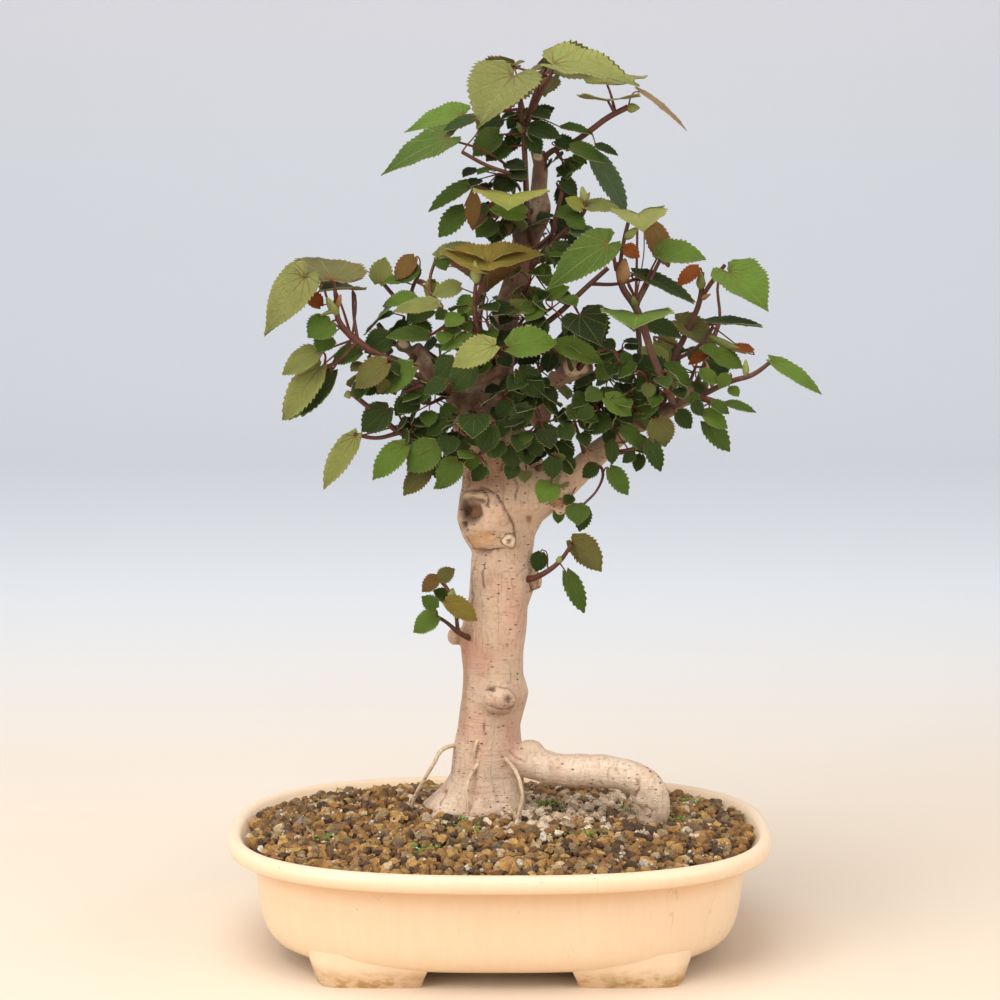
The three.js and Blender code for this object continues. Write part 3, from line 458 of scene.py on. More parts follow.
def closeRing(body, height, span):
    # the flat middle of the floor: the innermost ring at this height is filled
    take(body)
    for part in (body.data.vertices, body.data.edges, body.data.polygons):
        for item in part:
            item.select = False
    for edge in body.data.edges:
        ends = [body.data.vertices[index].co for index in edge.vertices]
        level = all(abs(end.z - height) < 0.0002 for end in ends)
        edge.select = level and all((end - potMiddle).xy.length < pot["floorReach"] for end in ends)
    bpy.ops.object.mode_set(mode="EDIT")
    bpy.ops.mesh.select_mode(type="EDGE")
    bpy.ops.mesh.fill_grid(span=span)
    bpy.ops.object.mode_set(mode="OBJECT")


def makeFoot(sideways, forward):
    # straight in front and rounded at the outer corner, its edge on the ground worn soft
    middle = pot["footMiddle"]
    rings = []
    for share, size, height in pot["footLevels"]:
        ring = []
        for low, high in zip(pot["footOutline"], pot["footTop"]):
            x, y = (m + ((a + (b - a) * share) - m) * size for m, a, b in zip(middle, low, high))
            ring.append(potMiddle + Vector((sideways * x, forward * y, height)) / 1000)
        rings.append(ring)
    return rightSideOut(skinned("foot", rings))


def skinned(name, rings, capped=True):
    # rings of points joined side by side, closed at both ends
    count = len(rings[0])
    vertices = [point for ring in rings for point in ring]
    faces = []
    for level in range(len(rings) - 1):
        for side in range(count):
            after = (side + 1) % count
            low, high = level * count, (level + 1) * count
            faces.append((low + side, low + after, high + after, high + side))
    if capped:
        faces.append(tuple(reversed(range(count))))
        faces.append(tuple(range(len(vertices) - count, len(vertices))))
    return pieceOf(name, vertices, faces)


def glazePaint():
    print("pot: glaze")
    paint = Paint("creamGlaze")
    spot = paint.place()
    x, y, z = paint.parts(spot)
    streaks = paint.cloud(paint.place((60, 60, 4)), 3.0, 6.0, 0.6)
    broad = paint.cloud(spot, 14.0, 3.0)
    warm = paint.mix(broad, rgb(234, 205, 169), rgb(240, 213, 179))
    pale = paint.mix(streaks.span(0.35, 0.75) * 0.3, warm, rgb(246, 222, 188))
    # painted shade under the lip: the neck below the lip's overhang is painted as a warmer, darker orange
    # band
    underLipShade = z.span(0.047, 0.0615) * (1.0 - z.span(0.0628, 0.0650))
    shaded = paint.mix(underLipShade * 0.45, pale, rgb(216, 160, 106))
    foot = 1.0 - z.span(0.002, 0.014)
    dirt = paint.cloud(paint.place((1, 1, 2.2)), 90.0, 5.0, 0.65).span(0.42, 0.62)
    moss = paint.cloud(spot, 46.0, 4.0).span(0.52, 0.66)
    soiled = paint.mix(foot * (0.5 + dirt * 0.5), shaded, rgb(176, 134, 80))
    green = paint.mix(foot * moss * 0.45, soiled, rgb(158, 148, 92))
    specks = 1.0 - paint.cells(spot, 130.0).span(0.03, 0.075)
    sparse = paint.cloud(spot, 23.0, 2.0).span(0.54, 0.62)
    speckled = paint.mix(specks * sparse * 0.8, green, rgb(120, 84, 50))
    hair = abs(paint.cloud(paint.place((26, 26, 3.2)), 1.0, 3.0, 0.5, 1.2) - 0.5)
    crackle = (1.0 - hair.span(0.0, 0.004)) * paint.cloud(spot, 9.0, 1.0).span(0.55, 0.68)
    marked = paint.mix(crackle * 0.4, speckled, rgb(186, 142, 94))
    smear = paint.cloud(paint.place((30, 30, 9)), 4.0, 5.0, 0.7)
    rough = 0.30 + smear.span(0.3, 0.8) * 0.16 + foot * 0.25
    ripple = paint.cloud(paint.place((20, 20, 10)), 3.0, 3.0)
    pits = paint.cloud(spot, 700.0, 2.0)
    normal = paint.bump(ripple * 0.9 + pits * 0.10 - specks * sparse * 0.1, 0.0009, 0.7)
    coat = {"Coat_Weight": 0.12, "Coat_Roughness": 0.15}
    return paint.finish(Base_Color=marked, Roughness=rough, Normal=normal, **coat)


# Soil

soil = {
    "edge": 0.069,
    "floor": 17.3,
    "mound": 0.009,
    # half sizes of the mound in mm, and of the oval that grains lie in, in metres
    "reach": (162, 121.5),
    "grainReach": (0.1495, 0.109),
    "rings": 34,
    # half sizes of the field that grains are dealt over, the step from one to the next and from row to row
    "field": (0.16, 0.12),
    "grainStep": 0.0049,
    "rowShare": 0.86,
    "grainSizes": (0.0021, 0.0048),
    # white and dark crumbs between the grains
    "crumbs": 260,
    "crumbField": (0.145, 0.105),
    "crumbSizes": (0.0006, 0.0012),
    # where the pale grains lie, how far they spread and how thickly
    "palePlace": (0.034, 0.02),
    "paleSpread": (0.052, 0.036),
    "paleShare": 1.7,
    # how common each colour of grain is
    "grainColours": [
        (20, rgb(172, 128, 68)), (18, rgb(146, 104, 52)), (14, rgb(196, 154, 88)), (12, rgb(108, 78, 42)),
        (8, rgb(78, 58, 42)), (9, rgb(154, 130, 92)), (6, rgb(116, 98, 70)), (4, rgb(206, 180, 136)),
        (3, rgb(52, 42, 30)), (1, rgb(226, 214, 192)),
    ],
    "paleColours": [
        (9, rgb(246, 226, 194)), (9, rgb(228, 204, 170)), (7, rgb(208, 184, 150)), (4, rgb(184, 142, 102)),
        (4, rgb(118, 94, 70)),
    ],
    # from one thread of the drain screens to the next
    "screenWeave": 0.0014,
    "stones": [
        ((505, 868), 0.0075, rgb(196, 148, 84)), ((360, 865), 0.0062, rgb(150, 112, 72)),
        ((425, 835), 0.0060, rgb(164, 128, 88)), ((256, 812), 0.0050, rgb(60, 50, 46)),
        ((700, 838), 0.0056, rgb(186, 142, 90)), ((610, 862), 0.0058, rgb(140, 100, 64)),
        ((300, 826), 0.0056, rgb(150, 142, 130)), ((664, 800), 0.0052, rgb(120, 104, 90)),
    ],
    "mossSpots": [
        (690, 805), (590, 835), (420, 850), (470, 828), (455, 822), (548, 806), (676, 822), (330, 840),
        (620, 812),
    ],
    "mossTufts": 46,
    "mossSpread": (0.0052, 0.0036),
    "mossSizes": (0.0005, 0.0012),
    "mossGreens": [(104, 128, 52), (80, 102, 40), (126, 146, 66), (66, 80, 36)],
}


def soilHeight(x, y):
    # height in metres at a place in mm from the middle of the pot
    reach = math.hypot(x / soil["reach"][0], y / soil["reach"][1])
    bumps = 1.1 * math.sin(x * 0.11 + 1) * math.cos(y * 0.13) + 0.7 * math.sin(x * 0.23 - y * 0.19)
    mound = soil["mound"] * max(0.0, 1 - reach * reach)
    return soil["edge"] + mound + bumps * min(1.0, 2.2 * (1 - reach) + 0.1) / 1000


def soilAt(x, y):
    # height in metres of the soil at a place in metres from the middle of the pot
    return soilHeight(x * 1000, y * 1000)


def soilOval(x, y):
    # 0 in the middle of the pot and 1 at the edge of the grains
    halfLength, halfDepth = soil["grainReach"]
    return abs(x / halfLength) ** pot["power"] + abs(y / halfDepth) ** pot["power"]


def onSoil(across, down):
    # the place on the soil seen there
    back = -100.0
    while back < 110:
        spot = seen(across, down, back)
        if spot.z < soilAt(spot.x - potMiddle.x, spot.y - potMiddle.y):
            return spot
        back += 0.5
    return spot


def makeSoil():
    print("soil: bed")
    walls = [(inset + 0.6, height + 0.3) for inset, height in reversed(pot["inside"][1:-1])]
    profile = [(120, soil["floor"])] + walls + [(12.6, 66.0), (13.4, 68.0)]
    top = [(13.4 + 108 * (step / soil["rings"]), 69.0) for step in range(1, soil["rings"] + 1)]
    bed = turnedOval("soilBed", profile + top, 120)
    closeRing(bed, soil["edge"], 30)
    closeRing(bed, soil["floor"] / 1000, 30)
    for vertex in bed.data.vertices:
        if vertex.co.z > 0.0679:
            x, y = vertex.co.x - potMiddle.x, vertex.co.y - potMiddle.y
            rough = noise.noise(Vector((x, y, 0.0)) * 260) * 0.0007
            vertex.co.z = soilAt(x, y) - 0.0018 + rough
    rightSideOut(bed)
    smoothed(bed, 60)
    painted(bed, earthPaint())
    kept(bed, "soil_grit", "soil")


def turnedOval(name, profile, sides):
    # a ring in the pot's outline, drawn in and raised again and again
    firstInset, firstHeight = profile[0][0] / 1000, profile[0][1] / 1000
    place = (potMiddle.x, potMiddle.y, firstHeight)
    body = added(name, bpy.ops.mesh.primitive_circle_add, vertices=sides, radius=1.0, location=place)
    settled(body)
    for vertex in body.data.vertices:
        turn = math.atan2(vertex.co.y - potMiddle.y, vertex.co.x - potMiddle.x)
        vertex.co = ovalPoint(turn, firstInset, firstHeight)
    bpy.ops.object.mode_set(mode="EDIT")
    bpy.ops.mesh.select_all(action="SELECT")
    for before, after in zip(profile, profile[1:]):
        lengths = [pot["halfLength"] - inset / 1000 for inset, height in (before, after)]
        depths = [pot["halfDepth"] - inset / 1000 for inset, height in (before, after)]
        rise = (after[1] - before[1]) / 1000
        bpy.ops.mesh.extrude_region_move(TRANSFORM_OT_translate={"value": (0.0, 0.0, rise)})
        factor = (lengths[1] / lengths[0], depths[1] / depths[0], 1.0)
        centre = (potMiddle.x, potMiddle.y, after[1] / 1000)
        bpy.ops.transform.resize(value=factor, center_override=centre)
    bpy.ops.object.mode_set(mode="OBJECT")
    return body


def copies(name, models, places, tones):
    # each place is (model, 3x3 turn and size, spot): every copy has its own faces in one mesh
    shapes = []
    for model in models:
        mesh = model.data
        shapes.append((coordsOf(mesh), [tuple(face.vertices) for face in mesh.polygons]))
    vertices, faces, colours = [], [], []
    count = 0
    for (which, turn, spot), tone in zip(places, tones):
        points, loops = shapes[which]
        vertices.append(points @ np.array(turn).T + np.array(spot))
        faces.extend([tuple(index + count for index in loop) for loop in loops])
        colours.append(np.tile((*tone, 1.0), (len(points), 1)))
        count += len(points)
    thing = pieceOf(name, np.concatenate(vertices), faces)
    layered(thing, "tone", np.concatenate(colours).ravel())
    return thing


def picked(options):
    # one of the colours, the common ones more often
    total = sum(weight for weight, colour in options)
    draw = dice.random() * total
    for weight, colour in options:
        draw -= weight
        if draw <= 0:
            return colour
    return options[-1][1]


def turned(size, flat=1.0):
    # a random turn with a size, as rows of a matrix
    spin = Vector((dice.gauss(0, 1), dice.gauss(0, 1), dice.gauss(0, 1))).normalized()
    matrix = Vector((0, 0, 1)).rotation_difference(spin).to_matrix()
    sizes = (size, size * dice.uniform(0.72, 1.0), size * dice.uniform(0.6, 0.95) * flat)
    return [[matrix[row][column] * sizes[column] for column in range(3)] for row in range(3)]


def grainModels(kind, count, jitter):
    # a few rough lumps that the grains are copied from
    models = []
    for index in range(count):
        sphere = bpy.ops.mesh.primitive_uv_sphere_add
        model = added(f"{kind}{index}", sphere, segments=7, ring_count=5, radius=1.0)
        for vertex in model.data.vertices:
            shift = noise.noise_vector(vertex.co * 1.3 + Vector((index * 7.1, 2.0, 5.0)))
            vertex.co += Vector(shift) * jitter
        models.append(model)
    return models


def screenPaint():
    paint = Paint("wovenScreen")
    spot = paint.place()
    x, y, z = paint.parts(spot)
    threads = [abs((part / soil["screenWeave"]).wrap() - 0.5) for part in (x, y)]
    bars = [1.0 - thread.span(0.2, 0.34) for thread in threads]
    waves = [(part / soil["screenWeave"] * math.pi).sine() for part in (y, x)]
    weave = (bars[0] * (0.7 + waves[0] * 0.3)).most(bars[1] * (0.7 - waves[1] * 0.3))
    dust = paint.cloud(spot, 160.0, 5.0).span(0.45, 0.65)
    shaded = paint.mix(weave, rgb(16, 14, 12), rgb(58, 56, 52))
    dusty = paint.mix(dust * 0.5, shaded, rgb(150, 122, 84))
    normal = paint.bump(weave, 0.0006)
    return paint.finish(Base_Color=dusty, Roughness=0.5 + dust * 0.3, Normal=normal)


def makeScreens():
    print("soil: drain screens")
    paint = screenPaint()
    for name in ("drain_screen_left", "drain_screen_right"):
        for place in bpy.data.objects[name].material_slots:
            place.material = paint


def paleness(x, y):
    # how likely a grain is a pale one
    (middleX, middleY), (spreadX, spreadY) = soil["palePlace"], soil["paleSpread"]
    return math.exp(-((x - middleX) / spreadX) ** 2 - ((y - middleY) / spreadY) ** 2) * soil["paleShare"]


def makeGrains():
    print("soil: grains")
    models = grainModels("grain", 6, 0.55)
    places, tones = [], []
    step = soil["grainStep"]
    columns, rows = int(0.32 / step), int(0.24 / (step * soil["rowShare"]))
    for row in range(rows):
        for column in range(columns):
            x = (column + 0.5 * (row % 2) + dice.uniform(-0.35, 0.35)) * step - soil["field"][0]
            y = (row + dice.uniform(-0.35, 0.35)) * step * soil["rowShare"] - soil["field"][1]
            if soilOval(x, y) > 0.985:
                continue
            low, high = soil["grainSizes"]
            size = low + (high - low) * dice.random() ** 1.9
            height = soilAt(x, y) + dice.uniform(-0.0016, 0.0006)
            options = soil["paleColours"] if dice.random() < paleness(x, y) else soil["grainColours"]
            shade = dice.uniform(0.82, 1.14)
            places.append((dice.randrange(6), turned(size), (potMiddle.x + x, potMiddle.y + y, height)))
            tones.append(tuple(min(1.0, part * shade) for part in picked(options)))
    for index in range(soil["crumbs"]):
        x, y = (dice.uniform(-half, half) for half in soil["crumbField"])
        if soilOval(x, y) < 0.94:
            size = dice.uniform(*soil["crumbSizes"])
            places.append((0, turned(size), (potMiddle.x + x, potMiddle.y + y, soilAt(x, y) + 0.0022)))
            tones.append(rgb(226, 218, 206) if index % 3 else rgb(60, 46, 34))
    for (across, down), size, colour in soil["stones"]:
        spot = onSoil(across, down)
        places.append((dice.randrange(6), turned(size, 0.8), (spot.x, spot.y, spot.z - size * 0.15)))
        tones.append(colour)
    grains = copies("soilGrains", models, places, tones)
    removed(models)
    smoothed(grains, 42)
    grains.data.materials.append(grainPaint())
    kept(grains, "soil_grit")
    print("soil: grains", len(places))


def makeMoss():
    print("soil: moss")
    models = grainModels("tuft", 3, 0.7)
    places, tones = [], []
    for across, down in soil["mossSpots"]:
        middle = onSoil(across, down)
        for index in range(soil["mossTufts"]):
            x = middle.x - potMiddle.x + dice.gauss(0, soil["mossSpread"][0])
            y = middle.y - potMiddle.y + dice.gauss(0, soil["mossSpread"][1])
            size = dice.uniform(*soil["mossSizes"])
            if soilOval(x, y) > 0.9:
                continue
            height = soilAt(x, y) + dice.uniform(0.0005, 0.0026)
            places.append((index % 3, turned(size), (potMiddle.x + x, potMiddle.y + y, height)))
            tones.append(rgb(*dice.choice(soil["mossGreens"])))
    moss = copies("soilMoss", models, places, tones)
    removed(models)
    smoothed(moss, 60)
    paint = Paint("mossGreen")
    tone = paint.attribute("tone")
    fuzz = paint.cloud(paint.place(), 1900.0, 2.0)
    colour = paint.mix(fuzz, tone, rgb(150, 168, 84))
    moss.data.materials.append(
        paint.finish(Base_Color=colour, Roughness=0.9, Normal=paint.bump(fuzz, 0.0006)),
    )
    kept(moss, "soil_grit")


def grainPaint():
    paint = Paint("grainStone")
    spot = paint.place()
    tone = paint.attribute("tone")
    mottle = paint.cloud(spot, 420.0, 5.0, 0.7)
    dust = paint.cloud(spot, 1500.0, 3.0, 0.6)
    darker = paint.mix(mottle.span(0.3, 0.7) * 0.55, tone, rgb(92, 62, 38))
    dusty = paint.mix(dust.span(0.55, 0.75) * 0.4, darker, rgb(206, 178, 146))
    pits = 1.0 - paint.cells(spot, 900.0).span(0.0, 0.4)
    pitted = paint.mix(pits * 0.35, dusty, rgb(48, 34, 24))
    height = mottle * 0.8 - pits * 0.6 + dust * 0.3
    return paint.finish(Base_Color=pitted, Roughness=0.86 + dust * 0.12, Normal=paint.bump(height, 0.0007))


def earthPaint():
    paint = Paint("darkEarth")
    spot = paint.place()
    crumbs = paint.cloud(spot, 300.0, 6.0, 0.7)
    colour = paint.mix(crumbs, rgb(48, 34, 24), rgb(104, 76, 48))
    return paint.finish(Base_Color=colour, Roughness=0.95, Normal=paint.bump(crumbs, 0.002))


# Tree

tree = {
    # down the trunk: where its two sides are seen, and how far back its middle lies
    "trunk": [
        (846, 456, 522, 20), (822, 436, 524, 20), (803, 421, 527, 20), (788, 440, 525, 20),
        (772, 450, 524, 20), (748, 453, 523, 19), (725, 457.5, 520.5, 18), (706, 460, 526, 18),
        (692, 461.5, 529, 18), (674, 463, 524, 17), (652, 461, 524, 17), (634, 459, 526, 17),
        (607, 466, 528, 16), (592, 468.5, 534, 16), (573, 470.5, 534, 16), (552, 471.5, 533, 16),
        (536, 462, 535, 15), (519, 456.5, 544, 15), (502, 458.5, 562, 14), (486, 461, 560, 14),
        (468, 461, 548, 14), (446, 458, 536, 14), (424, 450, 522, 14), (404, 446, 516, 14),
        (386, 448, 512, 14), (366, 466, 514, 14), (344, 484, 517, 14), (318, 491, 519, 14),
        (290, 500, 527, 13), (262, 509, 537, 12), (240, 512, 540, 11), (222, 521, 548, 10),
        (206, 529, 551, 9), (190, 530, 547, 8), (170, 532, 548, 8), (150, 535, 546, 8),
    ],
    # limbs from inside the wood outward: across, down, back and the width seen
    "limbs": [
        [(530, 512, 12, 30), (560, 488, 8, 30), (590, 460, 2, 26), (612, 441, -3, 23), (632, 425, -6, 20),
         (660, 414, -9, 17), (682, 401, -11, 14), (692, 388, -12, 11)],
        [(500, 412, 10, 22), (530, 398, 2, 18), (556, 380, -6, 16), (574, 370, -10, 22), (592, 366, -12, 14)],
        [(548, 392, -4, 10), (552, 380, -8, 9), (550, 372, -10, 6)],
        [(456, 404, 10, 15), (452, 391, -8, 13), (473, 381, -18, 12), (490, 375.5, -22, 12),
         (501, 366, -22, 11), (497, 354, -21, 8)],
        [(462, 398, 8, 26), (436, 375, 2, 22), (413, 348, -3, 18)],
        [(496, 352, 8, 12), (478, 334, 2, 12), (462, 317, -2, 12)],
        [(462, 392, 2, 10), (440, 384, -10, 8), (408, 382, -14, 7)],
        [(498, 757, 16, 34), (530, 762, 10, 34), (556, 769, 4, 34), (582, 771, 0, 35), (608, 772, -4, 34),
         (632, 777, -7, 33), (650, 789, -8, 32), (655, 806, -6, 32), (650, 824, -2, 30), (646, 846, 2, 26)],
    ],
    "fineRoots": [
        [(462, 744, 16, 5), (442, 750, 8, 4.5), (434, 763, 4, 4), (424, 780, 6, 4), (413, 802, 14, 4),
         (411, 814, 16, 3)],
        [(482, 758, 3, 4), (470, 777, -3, 4), (467, 790, -6, 4), (468, 806, -8, 3.5), (468, 822, -8, 3)],
        [(505, 758, 4, 4), (516, 772, -6, 4), (521, 787, -12, 4), (522, 799, -15, 4), (518, 816, -17, 3.5),
         (514, 838, -14, 3)],
        [(480, 736, 4, 3.5), (475.6, 746, 0, 3.5), (474, 762, 2, 3.5)],
    ],
    # knots and swellings: across, down, back, width and height
    "swellings": [
        (486, 514, 2, 56, 50), (509, 541, -4, 18, 16), (455, 636, 14, 16, 20), (536, 580, 12, 12, 22),
        (499, 699, 1, 36, 32), (477, 404, -3, 30, 30), (539, 414, -4, 26, 30), (522, 234, 4, 20, 24),
        (561, 507, 2, 20, 20), (545, 215, 4, 12, 16), (538, 157, 4, 14, 12), (500, 372, -18, 14, 12),
        (403, 345, -4, 16, 16), (575, 366, -12, 30, 24), (640, 422, -8, 24, 22), (686, 398, -12, 18, 16),
        (596, 454, -2, 28, 24), (530, 752, 8, 30, 26), (648, 794, -8, 36, 32),
    ],
    "sides": 40,
    # the trunk's depth as a share of its width
    "flat": 0.93,
    "voxel": 0.00104,
    "bark": rgb(206, 178, 152),
    "fineRootTone": rgb(214, 190, 158),
    "crackTone": rgb(74, 48, 34),
    # how far marks in the bark wander, in view, and how high its ridges and lumps are, in mm
    "wander": 2.2,
    "ridge": 0.42,
    "lump": 0.55,
    # pushed in or out along the bark: across, down, half width, half height, depth in mm, round edge
    "dents": [
        (470, 512, 11.5, 11.5, -6.4, 6), (463, 527, 4.5, 4.5, -3.6, 3), (476, 494.5, 11, 3.2, 1.7, 2),
        (494, 512, 13, 16, 0.9, 3), (508.5, 541.5, 7, 6, 1.0, 4), (482, 542, 14, 7, 0.8, 2),
        (499, 698, 17, 12, 0.6, 2), (491.3, 689.5, 4.2, 3, -3.4, 3), (509.2, 700, 3, 3.8, -3.6, 3),
        (509, 541, 2.4, 2.4, -1.0, 2), (477, 404, 5, 5, -3.4, 3), (556.5, 503, 5, 4, -1.4, 3),
        (463, 317, 5, 5, -2.2, 3), (404, 343, 6, 6, -1.8, 4), (538, 414, 6, 8, -3.0, 2),
        (482, 552, 14, 4, -2.0, 2), (540, 582, 4, 10, 1.2, 2), (488, 560, 26, 6, -1.4, 2),
        (449, 640, 5, 8, -1.5, 2), (500, 640, 60, 30, 0.6, 2), (520, 660, 8, 20, 0.8, 2),
        (470, 700, 7, 26, 0.7, 2), (497, 728, 10, 30, -0.9, 2), (478, 790, 9, 30, 0.9, 2),
        (500, 795, 7, 28, -1.0, 2), (452, 800, 7, 20, -1.0, 2),
    ],
    # dark cracks and seams in the bark: points seen, half width, depth in mm
    "cracks": [
        ([(458, 523), (457, 513), (460, 505), (466, 499), (475, 498), (485, 501)], 1.5, -1.7),
        ([(463, 494), (472, 489), (482, 490), (489, 497), (489, 506)], 1.0, -0.9),
        ([(481, 488), (494, 492), (501, 502), (509, 515), (514, 527), (516, 537)], 1.1, -1.3),
        ([(467, 538), (473, 551), (479, 554), (487, 553), (497, 549), (504, 550)], 1.5, -1.7),
        (
            [(500, 541), (504, 535), (511, 534), (516, 538), (516, 545), (510, 549), (503, 547), (500, 541)],
            0.9, -0.9,
        ),
        ([(506, 541), (509, 539), (511, 542), (508, 544)], 0.7, -0.5),
        ([(459, 528), (463, 533), (468, 531)], 1.3, -1.2),
        ([(484, 564), (483, 574), (485, 587)], 0.8, -0.5),
        ([(532, 562), (525, 568), (517, 575)], 0.7, -0.4),
        ([(474, 566), (471, 580), (473, 600), (470, 618)], 0.9, -0.5),
        ([(531, 566), (529, 578), (534, 592)], 1.1, -0.9),
        ([(540, 570), (536, 582), (538, 590)], 0.8, -0.6),
        ([(485, 691), (494, 686), (505, 688), (513, 693), (515, 698)], 0.9, -0.7),
        ([(486, 705), (497, 709.5), (507, 709.5), (514, 706)], 0.8, -0.45),
        ([(486.5, 693), (490.5, 696.5), (497, 696)], 0.7, -0.45),
        ([(503, 705), (507.5, 706.5), (513, 702)], 0.7, -0.45),
        (
            [(549, 504), (552, 499), (558, 497), (563, 500), (564, 505), (560, 509), (553, 508), (549, 504)],
            0.9, -0.8,
        ),
        ([(466, 440), (470, 462), (468, 486)], 1.1, -0.8),
        ([(512, 470), (518, 486), (516, 500)], 0.8, -0.5),
        ([(502, 428), (506, 446), (502, 470)], 1.1, -1.0), ([(446, 790), (440, 806)], 0.9, -0.6),
        ([(510, 752), (516, 758), (524, 760)], 0.9, -0.6),
        ([(636, 778), (640, 788), (636, 796)], 1.1, -0.9),
        ([(646, 806), (652, 810), (650, 818)], 0.7, -0.5), ([(484, 724), (486, 738)], 0.7, -0.4),
    ],
    # patches of another colour, some of them painted shade: across, down, half width, half height, colour,
    # strength
    "patches": [
        (494, 512, 14, 17, rgb(226, 192, 166), 0.8), (482, 539, 15, 9, rgb(204, 158, 110), 0.85),
        (471, 512, 12, 12.5, rgb(96, 64, 38), 0.95), (463, 526, 4.5, 4.5, rgb(48, 32, 22), 0.95),
        (463, 508, 4.5, 11, rgb(48, 32, 22), 0.95), (473, 514, 6, 7, rgb(132, 98, 60), 0.75),
        (475, 496, 11, 4, rgb(226, 200, 164), 0.85), (508.5, 541.5, 7.5, 6.5, rgb(234, 212, 178), 0.95),
        # at 478, 479: painted shade under the crown, dark brown
        (529.5, 519.5, 3.5, 4.5, rgb(134, 70, 46), 0.8), (478, 479, 20, 9, rgb(84, 58, 38), 0.85),
        # the two patches at 462 are partly a brown stain and partly painted shade on the trunk's shadowed
        # left side
        (462, 640, 8, 100, rgb(150, 112, 76), 0.75), (462, 570, 7, 24, rgb(150, 112, 78), 0.6),
        (590, 778, 76, 34, rgb(238, 220, 194), 0.8), (652, 812, 24, 34, rgb(236, 216, 188), 0.8),
        (491.3, 689.5, 3.6, 2.6, rgb(64, 42, 30), 0.95), (509.2, 700, 2.6, 3.3, rgb(34, 22, 16), 0.95),
        (499, 699, 18, 16, rgb(190, 150, 126), 0.5), (538, 418, 13, 17, rgb(120, 62, 44), 0.85),
        (477, 404, 7, 7, rgb(110, 62, 42), 0.8), (404, 343, 8, 7, rgb(232, 212, 176), 0.9),
        (463, 317, 9, 7, rgb(228, 206, 168), 0.9), (538, 156, 7, 6, rgb(226, 208, 172), 0.9),
        (575, 368, 21, 15, rgb(226, 202, 164), 0.95), (551, 384, 7, 10, rgb(206, 170, 128), 0.7),
        (556.5, 503, 7, 6, rgb(184, 134, 86), 0.85), (509, 541, 2.4, 2.4, rgb(120, 78, 52), 0.7),
        (470, 630, 12, 30, rgb(208, 150, 128), 0.5), (512, 620, 12, 40, rgb(214, 164, 142), 0.5),
        (480, 660, 16, 18, rgb(204, 150, 128), 0.5), (474, 740, 16, 34, rgb(206, 156, 134), 0.55),
        (508, 748, 12, 26, rgb(198, 148, 126), 0.5), (520, 580, 12, 22, rgb(214, 170, 148), 0.4),
        (448, 806, 26, 10, rgb(236, 220, 192), 0.6), (500, 808, 22, 10, rgb(232, 214, 186), 0.5),
        # from here to the end: painted shade of the crown on the wood inside it, browner and darker
        (490, 462, 34, 28, rgb(176, 134, 104), 0.55), (486, 420, 40, 24, rgb(142, 100, 74), 0.6),
        (500, 360, 30, 40, rgb(120, 84, 60), 0.6), (520, 290, 20, 60, rgb(126, 92, 68), 0.6),
        (536, 200, 16, 40, rgb(140, 106, 80), 0.5), (600, 450, 40, 26, rgb(196, 164, 134), 0.5),
        (660, 412, 40, 20, rgb(176, 140, 108), 0.5), (440, 380, 30, 20, rgb(150, 112, 84), 0.5),
    ],
}


def trunkModel():
    print("tree: trunk")
    rows = tree["trunk"]
    middles = [seen((left + right) / 2, down, back) for down, left, right, back in rows]
    halves = [(right - left) / 2 * seenScale(back) for down, left, right, back in rows]
    trunk = added(
        "trunk", bpy.ops.mesh.primitive_circle_add,
        vertices=tree["sides"], radius=halves[0], location=middles[0], fill_type="NGON",
    )
    settled(trunk)
    bpy.ops.object.mode_set(mode="EDIT")
    bpy.ops.mesh.select_all(action="SELECT")
    bpy.ops.transform.resize(value=(1.0, tree["flat"], 1.0), center_override=middles[0])
    for level in range(1, len(rows)):
        step = middles[level] - middles[level - 1]
        factor = halves[level] / halves[level - 1]
        bpy.ops.mesh.extrude_region_move(TRANSFORM_OT_translate={"value": step})
        bpy.ops.transform.resize(value=(factor, factor, 1.0), center_override=middles[level])
    bpy.ops.object.mode_set(mode="OBJECT")
    return rightSideOut(trunk)


def tubes(name, routes, thick=1.0, steps=8, round=4):
    # round wood through the points of each route, whose last number is the width seen
    data = bpy.data.curves.new(name, "CURVE")
    data.dimensions = "3D"
    data.bevel_depth = 1.0
    data.bevel_resolution = round
    data.resolution_u = steps
    data.use_fill_caps = True
    for route in routes:
        line = data.splines.new("BEZIER")
        line.bezier_points.add(len(route) - 1)
        for knot, (point, radius) in zip(line.bezier_points, route):
            knot.co = point
            knot.radius = radius * thick
            knot.handle_left_type = knot.handle_right_type = "AUTO"
    thing = bpy.data.objects.new(name, data)
    bpy.context.scene.collection.objects.link(thing)
    take(thing)
    bpy.ops.object.convert(target="MESH")
    thing = bpy.context.active_object
    thing.name = name
    return thing


def seenRoute(rows):
    return [(seen(across, down, back), width / 2 * seenScale(back)) for across, down, back, width in rows]


def swellingModel(row):
    # a lumpy ball that is melted into the wood
    across, down, back, width, height = row
    scale = seenScale(back)
    half = (width / 2 * scale, width / 2 * scale * 0.8, height / 2 * scale)
    ball = added(
        "swelling", bpy.ops.mesh.primitive_ico_sphere_add,
        subdivisions=3, radius=1.0, location=seen(across, down, back), scale=half,
    )
    settled(ball)
    for vertex in ball.data.vertices:
        vertex.co += Vector(noise.noise_vector(vertex.co * 90)) * min(half) * 0.16
    return ball


def inView(points):
    # across and down of points in space
    offset = points - np.array(cameraSpot)
    deep = offset[:, 1] * cosTilt - offset[:, 2] * sinTilt
    high = offset[:, 1] * sinTilt + offset[:, 2] * cosTilt
    across = view["middle"] + view["focal"] * offset[:, 0] / deep
    down = view["middle"] - view["focal"] * high / deep
    return across, down


def meshArrays(mesh):
    normals = np.empty(len(mesh.vertices) * 3)
    mesh.vertex_normals.foreach_get("vector", normals)
    return coordsOf(mesh), normals.reshape(-1, 3)


